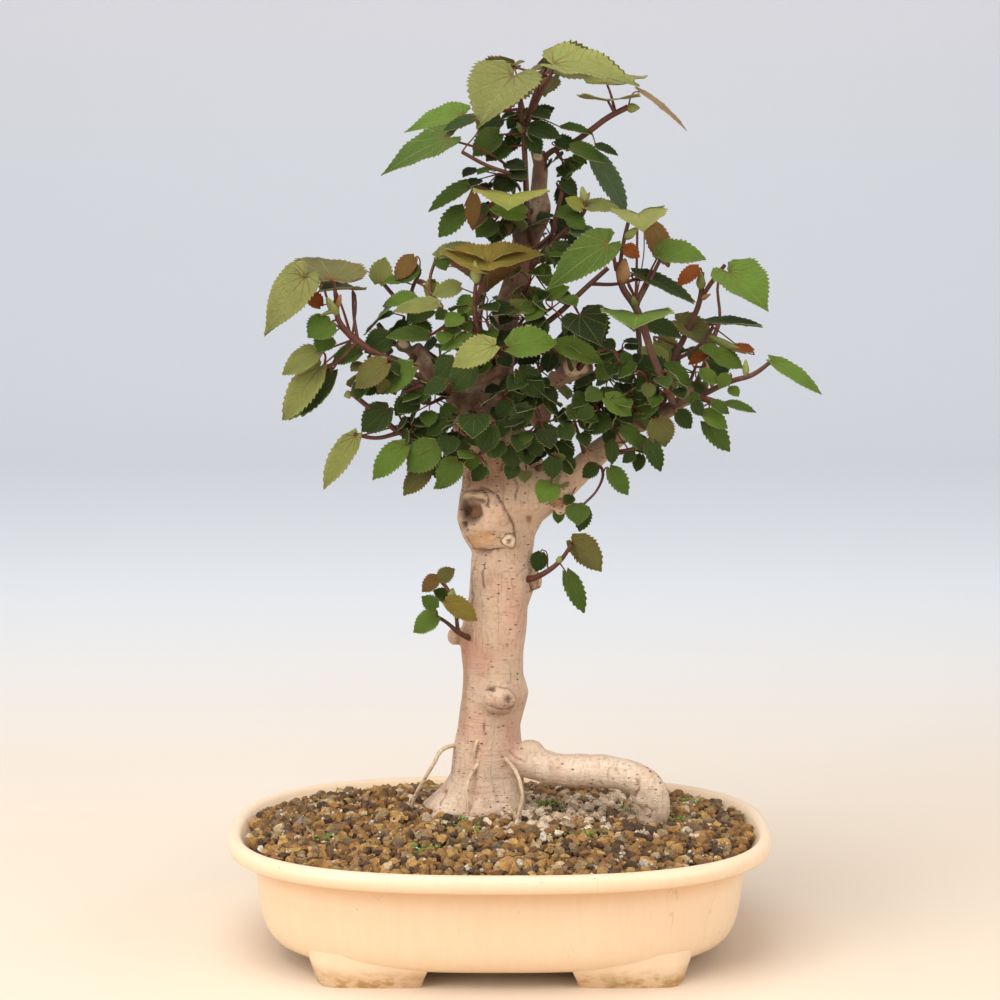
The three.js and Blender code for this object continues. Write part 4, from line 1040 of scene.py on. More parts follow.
def nearLine(across, down, points):
    # how far each place in view is from a line through the points
    best = np.full(len(across), 1e9)
    for (x0, y0), (x1, y1) in zip(points, points[1:]):
        dx, dy = x1 - x0, y1 - y0
        share = np.clip(((across - x0) * dx + (down - y0) * dy) / (dx * dx + dy * dy), 0, 1)
        best = np.minimum(best, np.hypot(across - x0 - dx * share, down - y0 - dy * share))
    return best


def rounded(line):
    # the corners of a line cut twice
    for turn in range(2):
        cut = [line[0]]
        for (x0, y0), (x1, y1) in zip(line, line[1:]):
            for near, far in ((0.75, 0.25), (0.25, 0.75)):
                cut.append((x0 * near + x1 * far, y0 * near + y1 * far))
        line = cut + [line[-1]]
    return line


def carveBark(wood):
    print("tree: bark relief")
    points, normals = meshArrays(wood.data)
    across, down = inView(points)
    places = [Vector(point) for point in points]
    wander = np.array([noise.noise(place * 210) for place in places])
    dip = np.array([noise.noise(place * 170 + Vector((5, 3, 1))) for place in places])
    across = across + tree["wander"] * wander
    down = down + tree["wander"] * dip
    facing = np.clip(-normals[:, 1] * 1.6, 0, 1)
    push = np.zeros(len(points))
    for x, y, halfWidth, halfHeight, depth, edge in tree["dents"]:
        far = np.hypot((across - x) / halfWidth, (down - y) / halfHeight)
        push += depth * np.exp(-(far ** edge)) * facing
    tone = np.zeros((len(points), 4))
    tone[:, :3] = tree["bark"]
    for x, y, halfWidth, halfHeight, colour, strength in tree["patches"]:
        far = np.hypot((across - x) / halfWidth, (down - y) / halfHeight)
        # a small patch has a sharper edge
        edge = 6 if halfWidth < 18 else 2.4
        share = (np.exp(-(far ** edge)) * strength * (0.25 + 0.75 * facing))[:, None]
        tone[:, :3] = tone[:, :3] * (1 - share) + np.array(colour) * share
        tone[:, 3] = np.maximum(tone[:, 3], share[:, 0])
    dark = np.array(tree["crackTone"])
    for line, halfWidth, depth in tree["cracks"]:
        breadth = halfWidth * (1.0 + 0.9 * wander)
        near = np.exp(-((nearLine(across, down, rounded(line)) / breadth) ** 2)) * facing
        push += depth * near
        share = (near * 0.85)[:, None]
        tone[:, :3] = tone[:, :3] * (1 - share) + dark * share
    for index, place in enumerate(places):
        ridge = noise.noise(Vector((place.x * 130, place.y * 130, place.z * 34)))
        lump = noise.noise(place * 55)
        push[index] += tree["ridge"] * ridge + tree["lump"] * lump
    points += normals * push[:, None] / 1000
    wood.data.vertices.foreach_set("co", points.ravel())
    layered(wood, "tone", tone.ravel())
    wood.data.update()


def makeTree():
    trunk = trunkModel()
    print("tree: limbs")
    limbs = tubes("limbs", [seenRoute(rows) for rows in tree["limbs"]], steps=10, round=6)
    swellings = [swellingModel(row) for row in tree["swellings"]]
    take(limbs, *swellings, trunk)
    bpy.ops.object.join()
    modified(trunk, "REMESH", mode="VOXEL", voxel_size=tree["voxel"], adaptivity=0.0)
    modified(trunk, "SMOOTH", factor=0.7, iterations=6)
    carveBark(trunk)
    roots = tubes("fineRoots", [seenRoute(rows) for rows in tree["fineRoots"]], steps=10, round=2)
    layered(roots, "tone", (*tree["fineRootTone"], 0.0) * len(roots.data.vertices))
    take(roots, trunk)
    bpy.ops.object.join()
    trunk.name = "treeWood"
    smoothed(trunk, 70)
    painted(trunk, barkPaint())
    kept(trunk, "bark", "tree")
    print("tree: faces", len(trunk.data.polygons))


def barkPaint():
    paint = Paint("paleBark")
    spot = paint.place()
    x, y, z = paint.parts(spot)
    tone = paint.attribute("tone")
    # painted shade of the foliage: the wood inside the crown, above 0.285 m, is darkened towards dark brown,
    # less where a patch gives its own colour
    crown = z.span(0.285, 0.33) * (0.6 + 0.4 * paint.cloud(spot, 40.0, 4.0).span(0.35, 0.6))
    held = 1.0 - paint.attribute("tone", 3).span(0.62, 0.8)
    shaded = paint.mix(crown * held * 0.88, tone, rgb(80, 52, 32))
    broad = paint.cloud(spot, 26.0, 5.0, 0.6, 0.4)
    pinker = paint.mix(broad.span(0.45, 0.68) * 0.5, shaded, rgb(190, 142, 120))
    creamy = paint.mix(paint.cloud(spot, 38.0, 4.0).span(0.5, 0.7) * 0.5, pinker, rgb(226, 202, 172))
    fibre = paint.cloud(paint.place((1.0, 1.0, 0.22)), 420.0, 5.0, 0.65)
    streaked = paint.mix(fibre.span(0.5, 0.72) * 0.42, creamy, rgb(140, 102, 76))
    rings = paint.cloud(paint.place((0.35, 0.35, 2.4)), 150.0, 4.0, 0.7, 0.5)
    ringed = paint.mix(rings.span(0.56, 0.7) * 0.34, streaked, rgb(156, 118, 92))
    dots = 1.0 - paint.cells(paint.place((0.6, 0.6, 1.6)), 250.0).span(0.06, 0.2)
    some = paint.cloud(spot, 70.0, 2.0).span(0.42, 0.58)
    spotted = paint.mix(dots * some * 0.85, ringed, rgb(84, 54, 38))
    damp = (1.0 - z.span(0.074, 0.092)) * paint.cloud(spot, 120.0, 3.0).span(0.4, 0.6)
    soiled = paint.mix(damp * 0.45, spotted, rgb(124, 92, 62))
    pits = 1.0 - paint.cells(paint.place((0.8, 0.8, 1.4)), 190.0).span(0.06, 0.18)
    pitted = paint.mix(pits * paint.cloud(spot, 55.0, 3.0).span(0.44, 0.6) * 0.75, soiled, rgb(96, 62, 44))
    threads = paint.cloud(paint.place((1.0, 1.0, 0.12)), 230.0, 3.0, 0.5, 1.4).span(0.6, 0.68)
    threaded = paint.mix(threads * 0.22, pitted, rgb(128, 88, 64))
    grime = paint.cloud(spot, 300.0, 5.0, 0.7).span(0.52, 0.7)
    grimy = paint.mix(grime * 0.3, threaded, rgb(134, 98, 70))
    sand = paint.cloud(spot, 900.0, 3.0)
    height = fibre * 0.5 + rings * 0.7 - dots * some * 0.8 - pits * 0.7 - threads * 0.2 + sand * 0.3
    normal = paint.bump(height, 0.0014, 0.9)
    return paint.finish(Base_Color=grimy, Roughness=0.78 + fibre * 0.14, Normal=normal)


# Leaves

foliage = {
    "blade": 0.0004,
    # the width of a stalk, and its share of that by the leaf's size
    "petiole": 0.0012,
    "petioleShares": {"large": 1.25, "middle": 1.0, "small": 0.62},
    "stemTone": rgb(78, 40, 26),
    "stalkTone": rgb(96, 36, 22),
    "budTones": [rgb(128, 140, 70), rgb(150, 110, 70), rgb(110, 122, 60)],
    # a leaf this wide in view is large or middle
    "largeFrom": 44,
    "middleFrom": 24,
    # columns and rows of a leaf's net, how far its teeth stand out, and its outline
    "nets": {
        "large": (12, 34, 0.09, "long"), "middle": (8, 22, 0.14, "round"), "small": (6, 16, 0.17, "round"),
    },
    # half width down the leaf, from the lobes beside the stalk to the tip
    "outlines": {
        "long": [
            (-0.11, 0.60), (-0.07, 0.80), (-0.02, 0.91), (0.05, 0.985), (0.13, 1.0), (0.22, 0.985),
            (0.32, 0.945), (0.42, 0.87), (0.52, 0.77), (0.61, 0.64), (0.69, 0.50), (0.77, 0.35),
            (0.84, 0.22), (0.90, 0.12), (0.95, 0.05), (1.0, 0.0),
        ],
        "round": [
            (-0.11, 0.46), (-0.07, 0.66), (-0.02, 0.82), (0.05, 0.93), (0.14, 1.0), (0.26, 1.03),
            (0.38, 1.01), (0.50, 0.94), (0.61, 0.83), (0.71, 0.68), (0.80, 0.49), (0.87, 0.31),
            (0.92, 0.17), (0.96, 0.07), (1.0, 0.0),
        ],
    },
    "lobes": {
        "long": [(0.0, 0.0), (0.12, -0.035), (0.3, -0.1), (0.5, -0.135), (0.75, -0.14), (1.0, -0.11)],
        "round": [(0.0, 0.0), (0.12, -0.03), (0.3, -0.07), (0.5, -0.09), (0.75, -0.09), (1.0, -0.04)],
    },
    "slots": {
        "shoot_leader": "leaf_light", "shoot_right_long": "leaf_light", "shoot_right_tall": "leaf_light",
        "shoot_limb_bend": "leaf_dark", "shoot_centre_top": "leaf_light",
        "shoot_centre_right": "leaf_dark", "shoot_centre_left": "leaf_dark",
        "shoot_left_long": "leaf_olive", "shoot_left_high": "leaf_olive",
        "shoot_left_middle": "leaf_dark", "shoot_trunk_left": "leaf_olive",
        "shoot_trunk_right": "leaf_olive",
    },
    # upper side, what it flushes to at the edge and how much, under side
    "tones": {
        # light and pale are partly the leaves' own paler green and partly painted light on leaves that face
        # the lamps; dark and deep are partly their own darker green and partly painted shade inside the crown
        "light": (rgb(140, 144, 76), rgb(168, 160, 92), 0.35, rgb(138, 140, 80)),
        "pale": (rgb(164, 172, 112), rgb(172, 168, 110), 0.3, rgb(150, 154, 98)),
        "bright": (rgb(98, 126, 42), rgb(128, 138, 64), 0.25, rgb(124, 134, 74)),
        "mid": (rgb(78, 104, 34), rgb(106, 114, 54), 0.25, rgb(108, 116, 62)),
        "dark": (rgb(46, 68, 20), rgb(70, 82, 38), 0.2, rgb(84, 94, 48)),
        "deep": (rgb(30, 46, 14), rgb(54, 62, 28), 0.2, rgb(60, 68, 32)),
        "glaucous": (rgb(76, 98, 66), rgb(104, 116, 78), 0.3, rgb(104, 114, 80)),
        "olive": (rgb(106, 104, 52), rgb(126, 88, 46), 0.5, rgb(120, 118, 64)),
        "bronze": (rgb(122, 92, 46), rgb(146, 66, 36), 0.7, rgb(132, 98, 58)),
        "brown": (rgb(96, 66, 36), rgb(116, 52, 32), 0.6, rgb(112, 80, 50)),
        "red": (rgb(158, 84, 32), rgb(168, 60, 26), 0.7, rgb(158, 84, 36)),
        "gold": (rgb(146, 128, 50), rgb(150, 108, 46), 0.5, rgb(140, 124, 60)),
        "yellow": (rgb(156, 158, 70), rgb(166, 150, 70), 0.4, rgb(150, 150, 78)),
        "pink": (rgb(160, 128, 92), rgb(172, 112, 80), 0.6, rgb(160, 132, 100)),
        "soft": (rgb(126, 128, 70), rgb(148, 140, 80), 0.3, rgb(124, 126, 74)),
        "under": (rgb(96, 98, 46), rgb(116, 86, 44), 0.5, rgb(84, 88, 38)),
        "burnt": (rgb(120, 84, 38), rgb(140, 70, 34), 0.5, rgb(130, 96, 44)),
    },
}

# Stems: across, down, back and the width seen. Leaves: where the stalk ends, the tip, the width, roll, lean,
# tone and, where it isn't the nearest stem, where the stalk starts. Buds: their foot, tip and width
# leaves inside the crown take the dark and deep tones, partly as painted shade
shoots = {
    "shoot_leader": {
        "stems": [
            [(532, 244, 6, 7), (528, 222, -6, 6.5), (527, 208, -8, 6), (526, 185, -10, 6),
             (523.6, 137, -10, 5.5), (520, 101, -10, 5), (519, 84, -10, 4)],
            [(524, 131, -10, 5), (538, 100, -12, 4), (552, 72, -14, 4)],
            [(524, 128, -10, 4), (534, 98, -6, 4), (541, 75, -4, 4)],
            [(525, 180, -10, 4), (508, 173, -22, 4), (486, 165, -30, 4), (462, 152, -34, 4)],
        ],
        "leaves": [
            (554, 65, -14, 641, 78, 82, 23, 1, "light", (524, 131, -10)),
            (514, 76, -12, 475, 121, 73, 30, 1, "soft"),
            (545, 69, 26, 600, 53, 62, -6, -1, "under", (524, 126, -10)),
            (514, 66, 16, 478, 76, 44, 12, -1, "olive"),
            (552, 78, 2, 543, 94, 26, -20, 1, "olive"),
            (500, 120, -4, 478, 137, 28, 30, 1, "dark"),
            (499, 134, -16, 471, 154, 30, 46, 1, "mid"),
            (463, 115, -8, 403, 129, 46, 28, 1, "bright"),
            (474, 119, -34, 442, 128, 22, 30, 1, "dark"),
            (449, 138, -34, 377, 167, 54, 30, 1, "mid", (525, 180, -10)),
            (533, 117, -6, 554, 106, 18, 50, 1, "dark"),
            (530, 128, -16, 562, 134, 24, 45, 1, "dark"),
            (563, 128, -8, 593, 132, 20, 25, 1, "mid"),
            (517, 134, -4, 506, 153, 17, 60, 1, "dark"),
            (529, 136, -14, 541, 154, 18, 60, 1, "dark"),
            (506, 146, -14, 486, 160, 26, 50, 1, "dark"),
            (512, 180, -14, 494, 192, 24, 50, 1, "deep"),
            (517, 118, -8, 507, 128, 14, 50, 1, "dark"),
        ],
        "buds": [(521, 96, -12, 527, 74, 9), (516, 100, -14, 510, 84, 5), (522, 134, -14, 517, 122, 7)],
    },
    "shoot_top_right": {
        "stems": [
            [(541, 165, 8, 7), (548, 154, 4, 6), (573.6, 142, 0, 6), (591, 130, -6, 6),
             (608, 117.5, -10, 6), (628, 107, -12, 6)],
            [(572, 143, 0, 4), (590, 148, 8, 3.5), (597, 154, 10, 3.5)],
        ],
        "leaves": [
            (583, 160, 6, 556, 176, 20, 40, 1, "mid"),
            (566, 170, 6, 568, 179, 11, 50, 1, "mid"),
            (606, 84, 18, 645, 70, 62, 8, -1, "light"),
            (608, 101, -14, 612, 96, 60, 15, 1, "olive"),
            (640, 91, -12, 690, 126, 22, 14, 1, "pink"),
            (556, 141, -6, 578, 148, 22, 40, 1, "dark"),
            (572, 148, -12, 607, 159, 26, 35, 1, "mid"),
            (596, 146, -14, 619, 153.5, 16, 30, 1, "dark"),
            (594, 156, 6, 630, 213, 24, 48, 1, "glaucous"),
        ],
        "buds": [(626, 108, -12, 640, 108, 10)],
    },
    "shoot_upper_left": {
        "stems": [
            [(536, 214, 8, 7), (516, 205, -4, 6), (492, 192, -14, 5), (468, 184, -20, 4.5)],
            [(518, 206, -3, 4.5), (515.5, 197, -26, 4)],
        ],
        "leaves": [
            (494, 222, -10, 476, 236, 24, 50, 1, "mid"),
            (500, 226, -8, 492, 244, 20, 60, 1, "dark"),
            (472, 184, -20, 427, 210, 22, 36, 1, "mid"),
            (463, 209, -14, 438, 237, 23, 58, 1, "mid"),
            (474, 195, -26, 471, 229, 15, 60, 1, "bronze"),
            (524, 214, -30, 490, 207, 26, 50, 1, "bright"),
            (512, 195, -28, 508, 202, 73, 12, 1, "yellow", (514, 204, -6)),
            (490, 204, 2, 482, 226, 16, 60, 1, "deep"),
            (513, 222, -6, 499, 236, 18, 60, 1, "dark"),
        ],
    },
    "shoot_upper_right": {
        "stems": [
            [(530, 268, 8, 7), (548, 248, -4, 6), (564, 231.5, -10, 5.5), (584, 211, -14, 5),
             (585, 202, -14, 4)],
            [(549, 247, -4, 4.5), (556, 216, 0, 4), (562, 192, 0, 4)],
        ],
        "leaves": [
            (561, 188, 14, 571, 214, 22, 55, 1, "deep"),
            (561, 181, 4, 578, 194, 20, 40, 1, "dark"),
            (586, 207, -14, 622, 206, 32, 22, 1, "light"),
            (582, 209, -16, 566, 197, 18, 40, 1, "yellow"),
            (554, 220, 12, 578, 238, 24, 60, 1, "deep"),
            (552, 247, -24, 573, 265, 26, 55, 1, "dark"),
            (572, 232, -20, 609, 240, 26, 30, 1, "glaucous"),
            (556, 288, 16, 532, 268, 20, 30, 1, "bright"),
        ],
        "buds": [(584, 202, -14, 582, 186, 8), (588, 202, -12, 590, 192, 5)],
    },
    "shoot_right_long": {
        "stems": [
            [(674, 405, -10, 8), (666, 386, -36, 8.5), (655, 362, -37, 8), (636, 308, -36, 8),
             (622, 286, -38, 7), (617, 262, -38, 6)],
            [(636, 306, -36, 5), (648, 284, -34, 4), (660, 260, -32, 4)],
            [(619, 272, -38, 4), (624, 240, -36, 4), (631, 212, -34, 4)],
            [(616, 270, -38, 4), (614, 258, -44, 4), (612, 248, -48, 4)],
        ],
        "leaves": [
            (638, 214, -34, 643, 226, 54, 22, 1, "light"),
            (651, 225, -14, 670, 267, 24, 55, 1, "bronze"),
            (658, 254, -32, 706, 254, 40, 34, 1, "bright", (637, 310, -36)),
            (608, 244, -48, 543, 287, 50, 42, 1, "mid"),
            (624, 248, -40, 640, 257, 16, 60, 1, "red"),
            (636, 274, -34, 697, 299, 28, 26, 1, "dark"),
            (638, 315, -40, 634, 323, 70, 14, 1, "bright"),
            (646, 324, -22, 683, 335, 26, 38, -1, "dark"),
        ],
        "buds": [(640, 243, -36, 639, 227, 9), (620, 284, -40, 625, 258, 15), (636, 308, -40, 633, 296, 7)],
    },
    "shoot_right_tall": {
        "stems": [
            [(692, 392, -10, 8), (684, 380, 8, 6), (673.5, 366, 10, 6), (684, 338, 12, 6),
             (700, 299.5, 14, 5.5), (702, 272, 14, 5)],
            [(701, 298, 14, 4), (712, 281, 12, 4), (725, 265, 8, 4)],
            [(676, 360, 10, 4), (700, 345, 6, 4), (713, 327, 4, 4)],
        ],
        "leaves": [
            (728, 272, 6, 770, 308, 62, 24, 1, "bright", (699, 303, 14)),
            (677, 321, 14, 718, 342, 32, 42, 1, "olive"),
            (709, 322, 4, 763, 321, 24, 15, 1, "dark"),
            (698, 268, 10, 676, 284, 16, 55, 1, "red"),
            (718, 352, 0, 700, 347, 16, 40, 1, "bright"),
            (714, 354, -2, 744, 366, 25, 44, 1, "bright"),
            (752, 351, 0, 729, 346, 15, 32, 1, "red"),
            (706, 355, 4, 688, 364, 14, 40, 1, "red"),
            (658, 341, 28, 681, 364, 26, 60, 1, "light"),
        ],
        "buds": [(701, 290, 12, 701, 272, 10), (702, 300, 12, 711, 294, 5), (749, 366, 0, 747, 354, 9)],
    },
    "shoot_right_end": {
        "stems": [
            [(688, 394, -11, 9), (705, 399, -20, 7), (727, 405, -26, 5.5)],
            [(698, 397, -15, 6), (732, 381, -16, 5.5), (752, 375, -17, 5), (772, 361, -18, 4)],
        ],
        "leaves": [
            (700, 372, -20, 720, 383, 17, 45, 1, "bright"),
            (728, 375, -22, 718, 388, 14, 50, 1, "bright"),
            (730, 388, -18, 739, 396, 13, 40, 1, "bright"),
            (772, 361, -18, 824.5, 391, 25, 32, 1, "bright"),
            (727, 404, -26, 757, 410, 17, 28, 1, "mid"),
            (712, 404, -30, 730, 413, 16, 40, 1, "mid"),
            (704, 413, -28, 729, 427, 20, 50, 1, "bright"),
            (705, 422, -22, 732, 451, 22, 60, 1, "mid"),
            (689, 396, -26, 699, 403, 14, 60, 1, "mid"),
            (694, 402, -32, 702, 416, 14, 60, 1, "dark"),
            (677, 413, -28, 692, 428, 20, 50, 1, "dark"),
        ],
        "buds": [(744, 372, -18, 746, 359, 7), (704, 371, -14, 706, 361, 6)],
    },
    "shoot_limb_under": {
        "stems": [
            [(606, 444, -4, 8), (616, 452, -22, 6), (634, 449, -26, 5), (656, 438, -26, 4)],
        ],
        "leaves": [
            (657, 420, -30, 666, 447, 28, 70, 1, "olive"),
            (648, 440, -32, 662, 472, 18, 65, 1, "dark"),
            (622, 428, -28, 649, 451, 18, 50, 1, "mid"),
            (638, 443, -22, 643, 453, 14, 60, 1, "dark"),
            (606, 432, -24, 613, 446, 14, 60, 1, "dark"),
            (612, 442, -30, 612, 465, 14, 60, 1, "dark"),
            (635, 454, -28, 622, 462, 13, 50, 1, "dark"),
            (641, 455, -24, 636, 472, 13, 60, 1, "dark"),
        ],
    },
    "shoot_fork": {
        "stems": [
            [(588, 464, 2, 5), (603, 473, -20, 3), (597, 490, -24, 2.5), (584, 504, -26, 2.5)],
        ],
        "leaves": [
            (571, 496, 0, 566, 505, 12, 50, 1, "mid"),
            (559, 509, 0, 558, 524, 12, 60, 1, "mid"),
            (566, 478, 0, 556, 488, 14, 50, 1, "pale"),
            (577, 505, -28, 578, 524, 24, 70, 1, "mid"),
            (586, 508, -22, 579, 532, 17, 60, 1, "dark"),
            (597, 466, -24, 582, 477, 17, 50, 1, "dark"),
            (610, 469, -26, 629, 495, 20, 55, 1, "mid"),
        ],
    },
    "shoot_limb_top": {
        "stems": [
            [(616, 436, -4, 8), (606, 424, -22, 6), (598, 410, -26, 5), (592, 398, -28, 4)],
            [(640, 420, -8, 8), (632, 404, -24, 6), (626, 394, -28, 4)],
        ],
        "leaves": [
            (576, 411, -34, 600, 420, 18, 50, 1, "mid"),
            (609, 420, -32, 583, 431, 26, 50, 1, "dark"),
            (593, 410, -40, 576, 417, 17, 50, 1, "dark"),
            (600, 398, -22, 584, 410, 20, 60, 1, "deep"),
            (606, 398, -36, 633, 414, 24, 50, 1, "bright"),
            (634, 402, -28, 650, 397, 17, 45, 1, "dark"),
            (656, 400, -26, 634, 418, 20, 50, 1, "mid"),
            (634, 387, -26, 656, 384, 17, 40, 1, "dark"),
            (585, 396, -30, 572, 404, 16, 60, 1, "dark"),
            (599, 391, -34, 586, 400, 18, 60, 1, "mid"),
            (602, 392, -30, 630, 396, 16, 35, 1, "dark"),
        ],
    },
    "shoot_limb_bend": {
        "stems": [
            [(656, 414, -8, 8), (666, 394, 4, 6), (667, 384, 5, 5)],
        ],
        "leaves": [
            (668, 380, -4, 632, 357, 36, 44, 1, "dark"),
            (662, 368, 8, 642, 346, 28, 50, 1, "light"),
            (665, 368, -20, 692, 385, 27, 45, 1, "mid"),
        ],
    },
    "shoot_centre_top": {
        "stems": [
            [(508, 340, 8, 8), (530, 332, -8, 6), (549, 321, -14, 6), (590, 284, -18, 5.5),
             (608, 268, -20, 5)],
            [(592, 284, -18, 4), (616, 284, -16, 3.5), (640, 278, -14, 3.5)],
        ],
        "leaves": [
            (510, 347, -42, 557, 339, 40, 46, 1, "bright"),
            (506, 311, -24, 542, 304, 22, 40, 1, "light"),
            (513, 297, -10, 546, 289, 20, 40, 1, "light"),
            (547, 298, -20, 569, 286, 20, 40, 1, "bright"),
            (580, 316, -34, 601, 344, 46, 50, 1, "deep"),
        ],
    },
    "shoot_knot": {
        "stems": [
            [(572, 376, -10, 9), (592, 356, -26, 5), (612, 350, -28, 4.5), (620, 362, -30, 4)],
        ],
        "leaves": [
            (558, 345, -32, 605, 359, 28, 45, 1, "bright"),
            (578, 342, -20, 607, 356, 24, 50, 1, "dark"),
            (605, 341, -26, 615, 350, 14, 45, 1, "dark"),
            (631, 362, -30, 618, 355, 14, 50, 1, "mid"),
            (612, 366, -30, 596, 379, 20, 55, 1, "mid"),
            (623, 364, -34, 630, 380, 15, 55, 1, "dark"),
        ],
    },
    "shoot_centre_right": {
        "stems": [
            [(520, 448, 10, 10), (532, 438, -20, 7), (540, 424, -26, 6), (530, 398, -30, 5),
             (522, 376, -32, 4)],
            [(536, 470, 8, 8), (552, 462, -22, 6), (566, 456, -24, 4)],
        ],
        "leaves": [
            (528, 406, -42, 512, 431, 23, 60, 1, "dark"),
            (525, 380, -34, 508, 402, 24, 60, 1, "dark"),
            (519, 371, -40, 545, 397, 27, 60, 1, "dark"),
            (529, 389, -30, 546, 403, 18, 60, 1, "dark"),
            (531, 441, -36, 542, 456, 18, 60, 1, "dark"),
            (549, 425, -34, 539, 444, 20, 60, 1, "dark"),
            (546, 446, -30, 564, 457, 18, 50, 1, "dark"),
            (560, 441, -26, 573, 460, 18, 60, 1, "dark"),
            (552, 458, -34, 553, 479, 20, 70, 1, "dark"),
            (566, 458, -28, 571, 475, 16, 60, 1, "dark"),
            (552, 484, -28, 540, 501, 26, 65, 1, "bright"),
            (522, 437, -38, 517, 451, 20, 60, 1, "dark"),
            (527, 450, -34, 527, 464, 17, 60, 1, "dark"),
        ],
    },
    "shoot_centre_left": {
        "stems": [
            [(488, 452, 8, 10), (492, 440, -24, 7), (498, 424, -30, 6), (506, 408, -32, 4)],
            [(492, 440, -24, 6), (506, 452, -30, 5), (514, 462, -32, 4)],
            [(492, 438, -24, 5), (480, 426, -34, 4), (474, 414, -36, 4)],
        ],
        "leaves": [
            (474, 416, -40, 473, 435, 32, 70, 1, "dark"),
            (510, 402, -36, 496, 417, 18, 60, 1, "dark"),
            (508, 424, -40, 492, 436, 18, 60, 1, "dark"),
            (493, 427, -44, 481, 453, 24, 60, 1, "dark"),
            (500, 442, -40, 494, 458, 18, 60, 1, "dark"),
            (511, 447, -36, 514, 469, 22, 60, 1, "dark"),
            (515, 465, -34, 508, 479, 17, 55, 1, "dark"),
            (484, 467, -30, 472, 481, 17, 55, 1, "dark"),
        ],
    },
    "shoot_low_left": {
        "stems": [
            [(462, 446, 8, 8), (436.5, 442, -12, 6), (417, 437, -16, 6), (400, 432.5, -18, 6),
             (382, 418, -20, 5.5), (350, 392, -22, 5)],
            [(400, 432.5, -18, 5), (376, 438, -20, 4), (354, 434, -22, 4)],
            [(462, 446, 8, 7), (458, 448, -22, 5), (462, 458, -28, 4)],
        ],
        "leaves": [
            (388, 409, -24, 361, 431, 30, 60, 1, "dark"),
            (410, 398, -22, 394, 415, 20, 50, 1, "mid"),
            (415, 421, -20, 399, 434, 17, 50, 1, "dark"),
            (451, 417, -26, 425, 435, 22, 50, 1, "dark"),
            (356, 436, -22, 321, 487, 27, 40, 1, "light"),
            (405, 446, -24, 371, 478, 28, 50, 1, "bright"),
            (436, 446, -28, 406, 470, 34, 60, 1, "mid"),
            (450, 437, -32, 446, 455, 22, 60, 1, "dark"),
            (472, 453, -30, 471, 471, 17, 50, 1, "mid"),
            (458, 462, -34, 437, 486, 27, 60, 1, "mid"),
            (455, 478, -28, 433, 488, 17, 40, 1, "bright"),
            (428, 468, -20, 402, 494, 24, 50, 1, "olive"),
        ],
        "buds": [(350, 395, -22, 344, 396, 9), (356, 391, -22, 358, 385, 6)],
    },
    "shoot_left_long": {
        "stems": [
            [(416, 356, -2, 8), (403, 363, -22, 7), (377.6, 354, -26, 7), (357, 340, -30, 7),
             (339, 321, -34, 6), (336, 300, -36, 6)],
            [(357.6, 340, -30, 4), (354, 316, -26, 3.5), (353, 292, -22, 3.5)],
            [(358, 341, -30, 4), (336, 362, -30, 4), (322, 369, -32, 4)],
            [(336, 302, -36, 4), (335, 290, -38, 4), (335, 281, -38, 4)],
        ],
        "leaves": [
            (390, 337, -20, 364, 352, 28, 60, 1, "dark"),
            (331, 280, -38, 319, 252, 74, -12, -1, "olive"),
            (306, 276, -44, 261, 333, 48, 44, 1, "soft"),
            (320, 306, -36, 302, 288, 17, 50, 1, "red"),
            (330, 322, -40, 308, 336, 30, 60, 1, "mid"),
            (329, 338, -34, 318, 352, 22, 50, 1, "mid"),
            (318, 352, -38, 281, 372, 28, 48, 1, "light"),
            (320, 367, -34, 281, 419, 32, 48, 1, "light"),
            (330, 376, -12, 287, 418, 30, 52, 1, "mid"),
            (332, 372, -28, 300, 415, 24, 50, 1, "dark"),
            (353, 290, -22, 320, 286, 44, 9, 1, "olive"),
            (360, 352, -24, 331, 361, 26, 40, 1, "mid"),
            (386, 364, -36, 353, 386, 32, 46, 1, "olive"),
            (412, 367, -32, 375, 393, 32, 46, 1, "mid"),
            (377, 382, -24, 365, 395, 17, 55, 1, "dark"),
        ],
        "buds": [(334, 318, -40, 326, 297, 10), (337, 310, -42, 341, 294, 6), (330, 312, -42, 320, 316, 5)],
    },
    "shoot_left_upper": {
        "stems": [
            [(462, 392, 4, 8), (426, 352, 14, 6), (397, 345, 10, 5.5), (378, 324, 4, 5)],
            [(404, 347, 10, 4.5), (408, 322, 4, 4), (412, 290, 0, 4), (420, 272, -2, 4)],
            [(408, 310, 2, 4), (394, 296, 2, 4), (382, 282, 2, 4)],
        ],
        "leaves": [
            (379, 283, 2, 385, 257, 23, 60, 1, "light"),
            (402, 281, -4, 383, 281, 17, 30, 1, "bright"),
            (414, 258, -6, 394, 279, 20, 55, 1, "bronze"),
            (418, 270, -8, 401, 282, 14, 50, 1, "mid"),
            (378, 321, 4, 391, 300, 48, 52, 1, "mid"),
            (414, 299, -18, 385, 302, 24, 35, 1, "bright"),
            (437, 304, -32, 392, 308, 26, 32, 1, "light"),
            (433, 311, -2, 406, 321, 22, 40, 1, "mid"),
            (407, 324, -4, 392, 329, 15, 35, 1, "dark"),
        ],
        "buds": [(419, 272, -4, 414, 261, 6), (420, 284, -4, 426, 282, 6)],
    },
    "shoot_left_high": {
        "stems": [
            [(488, 356, 8, 9), (484, 345, -18, 7), (478, 329, -24, 6), (475, 308, -28, 5.5),
             (480, 290, -30, 5), (488, 264, -32, 4.5)],
            [(475, 308, -28, 4), (475, 292, -34, 4), (476, 284, -36, 4)],
            [(478, 331, -24, 4), (456, 319, -22, 4), (437, 306, -20, 4), (430, 282, -16, 3.5),
             (436, 258, -12, 3.5)],
        ],
        "leaves": [
            (489, 264, -32, 441, 248, 44, 36, -1, "gold"),
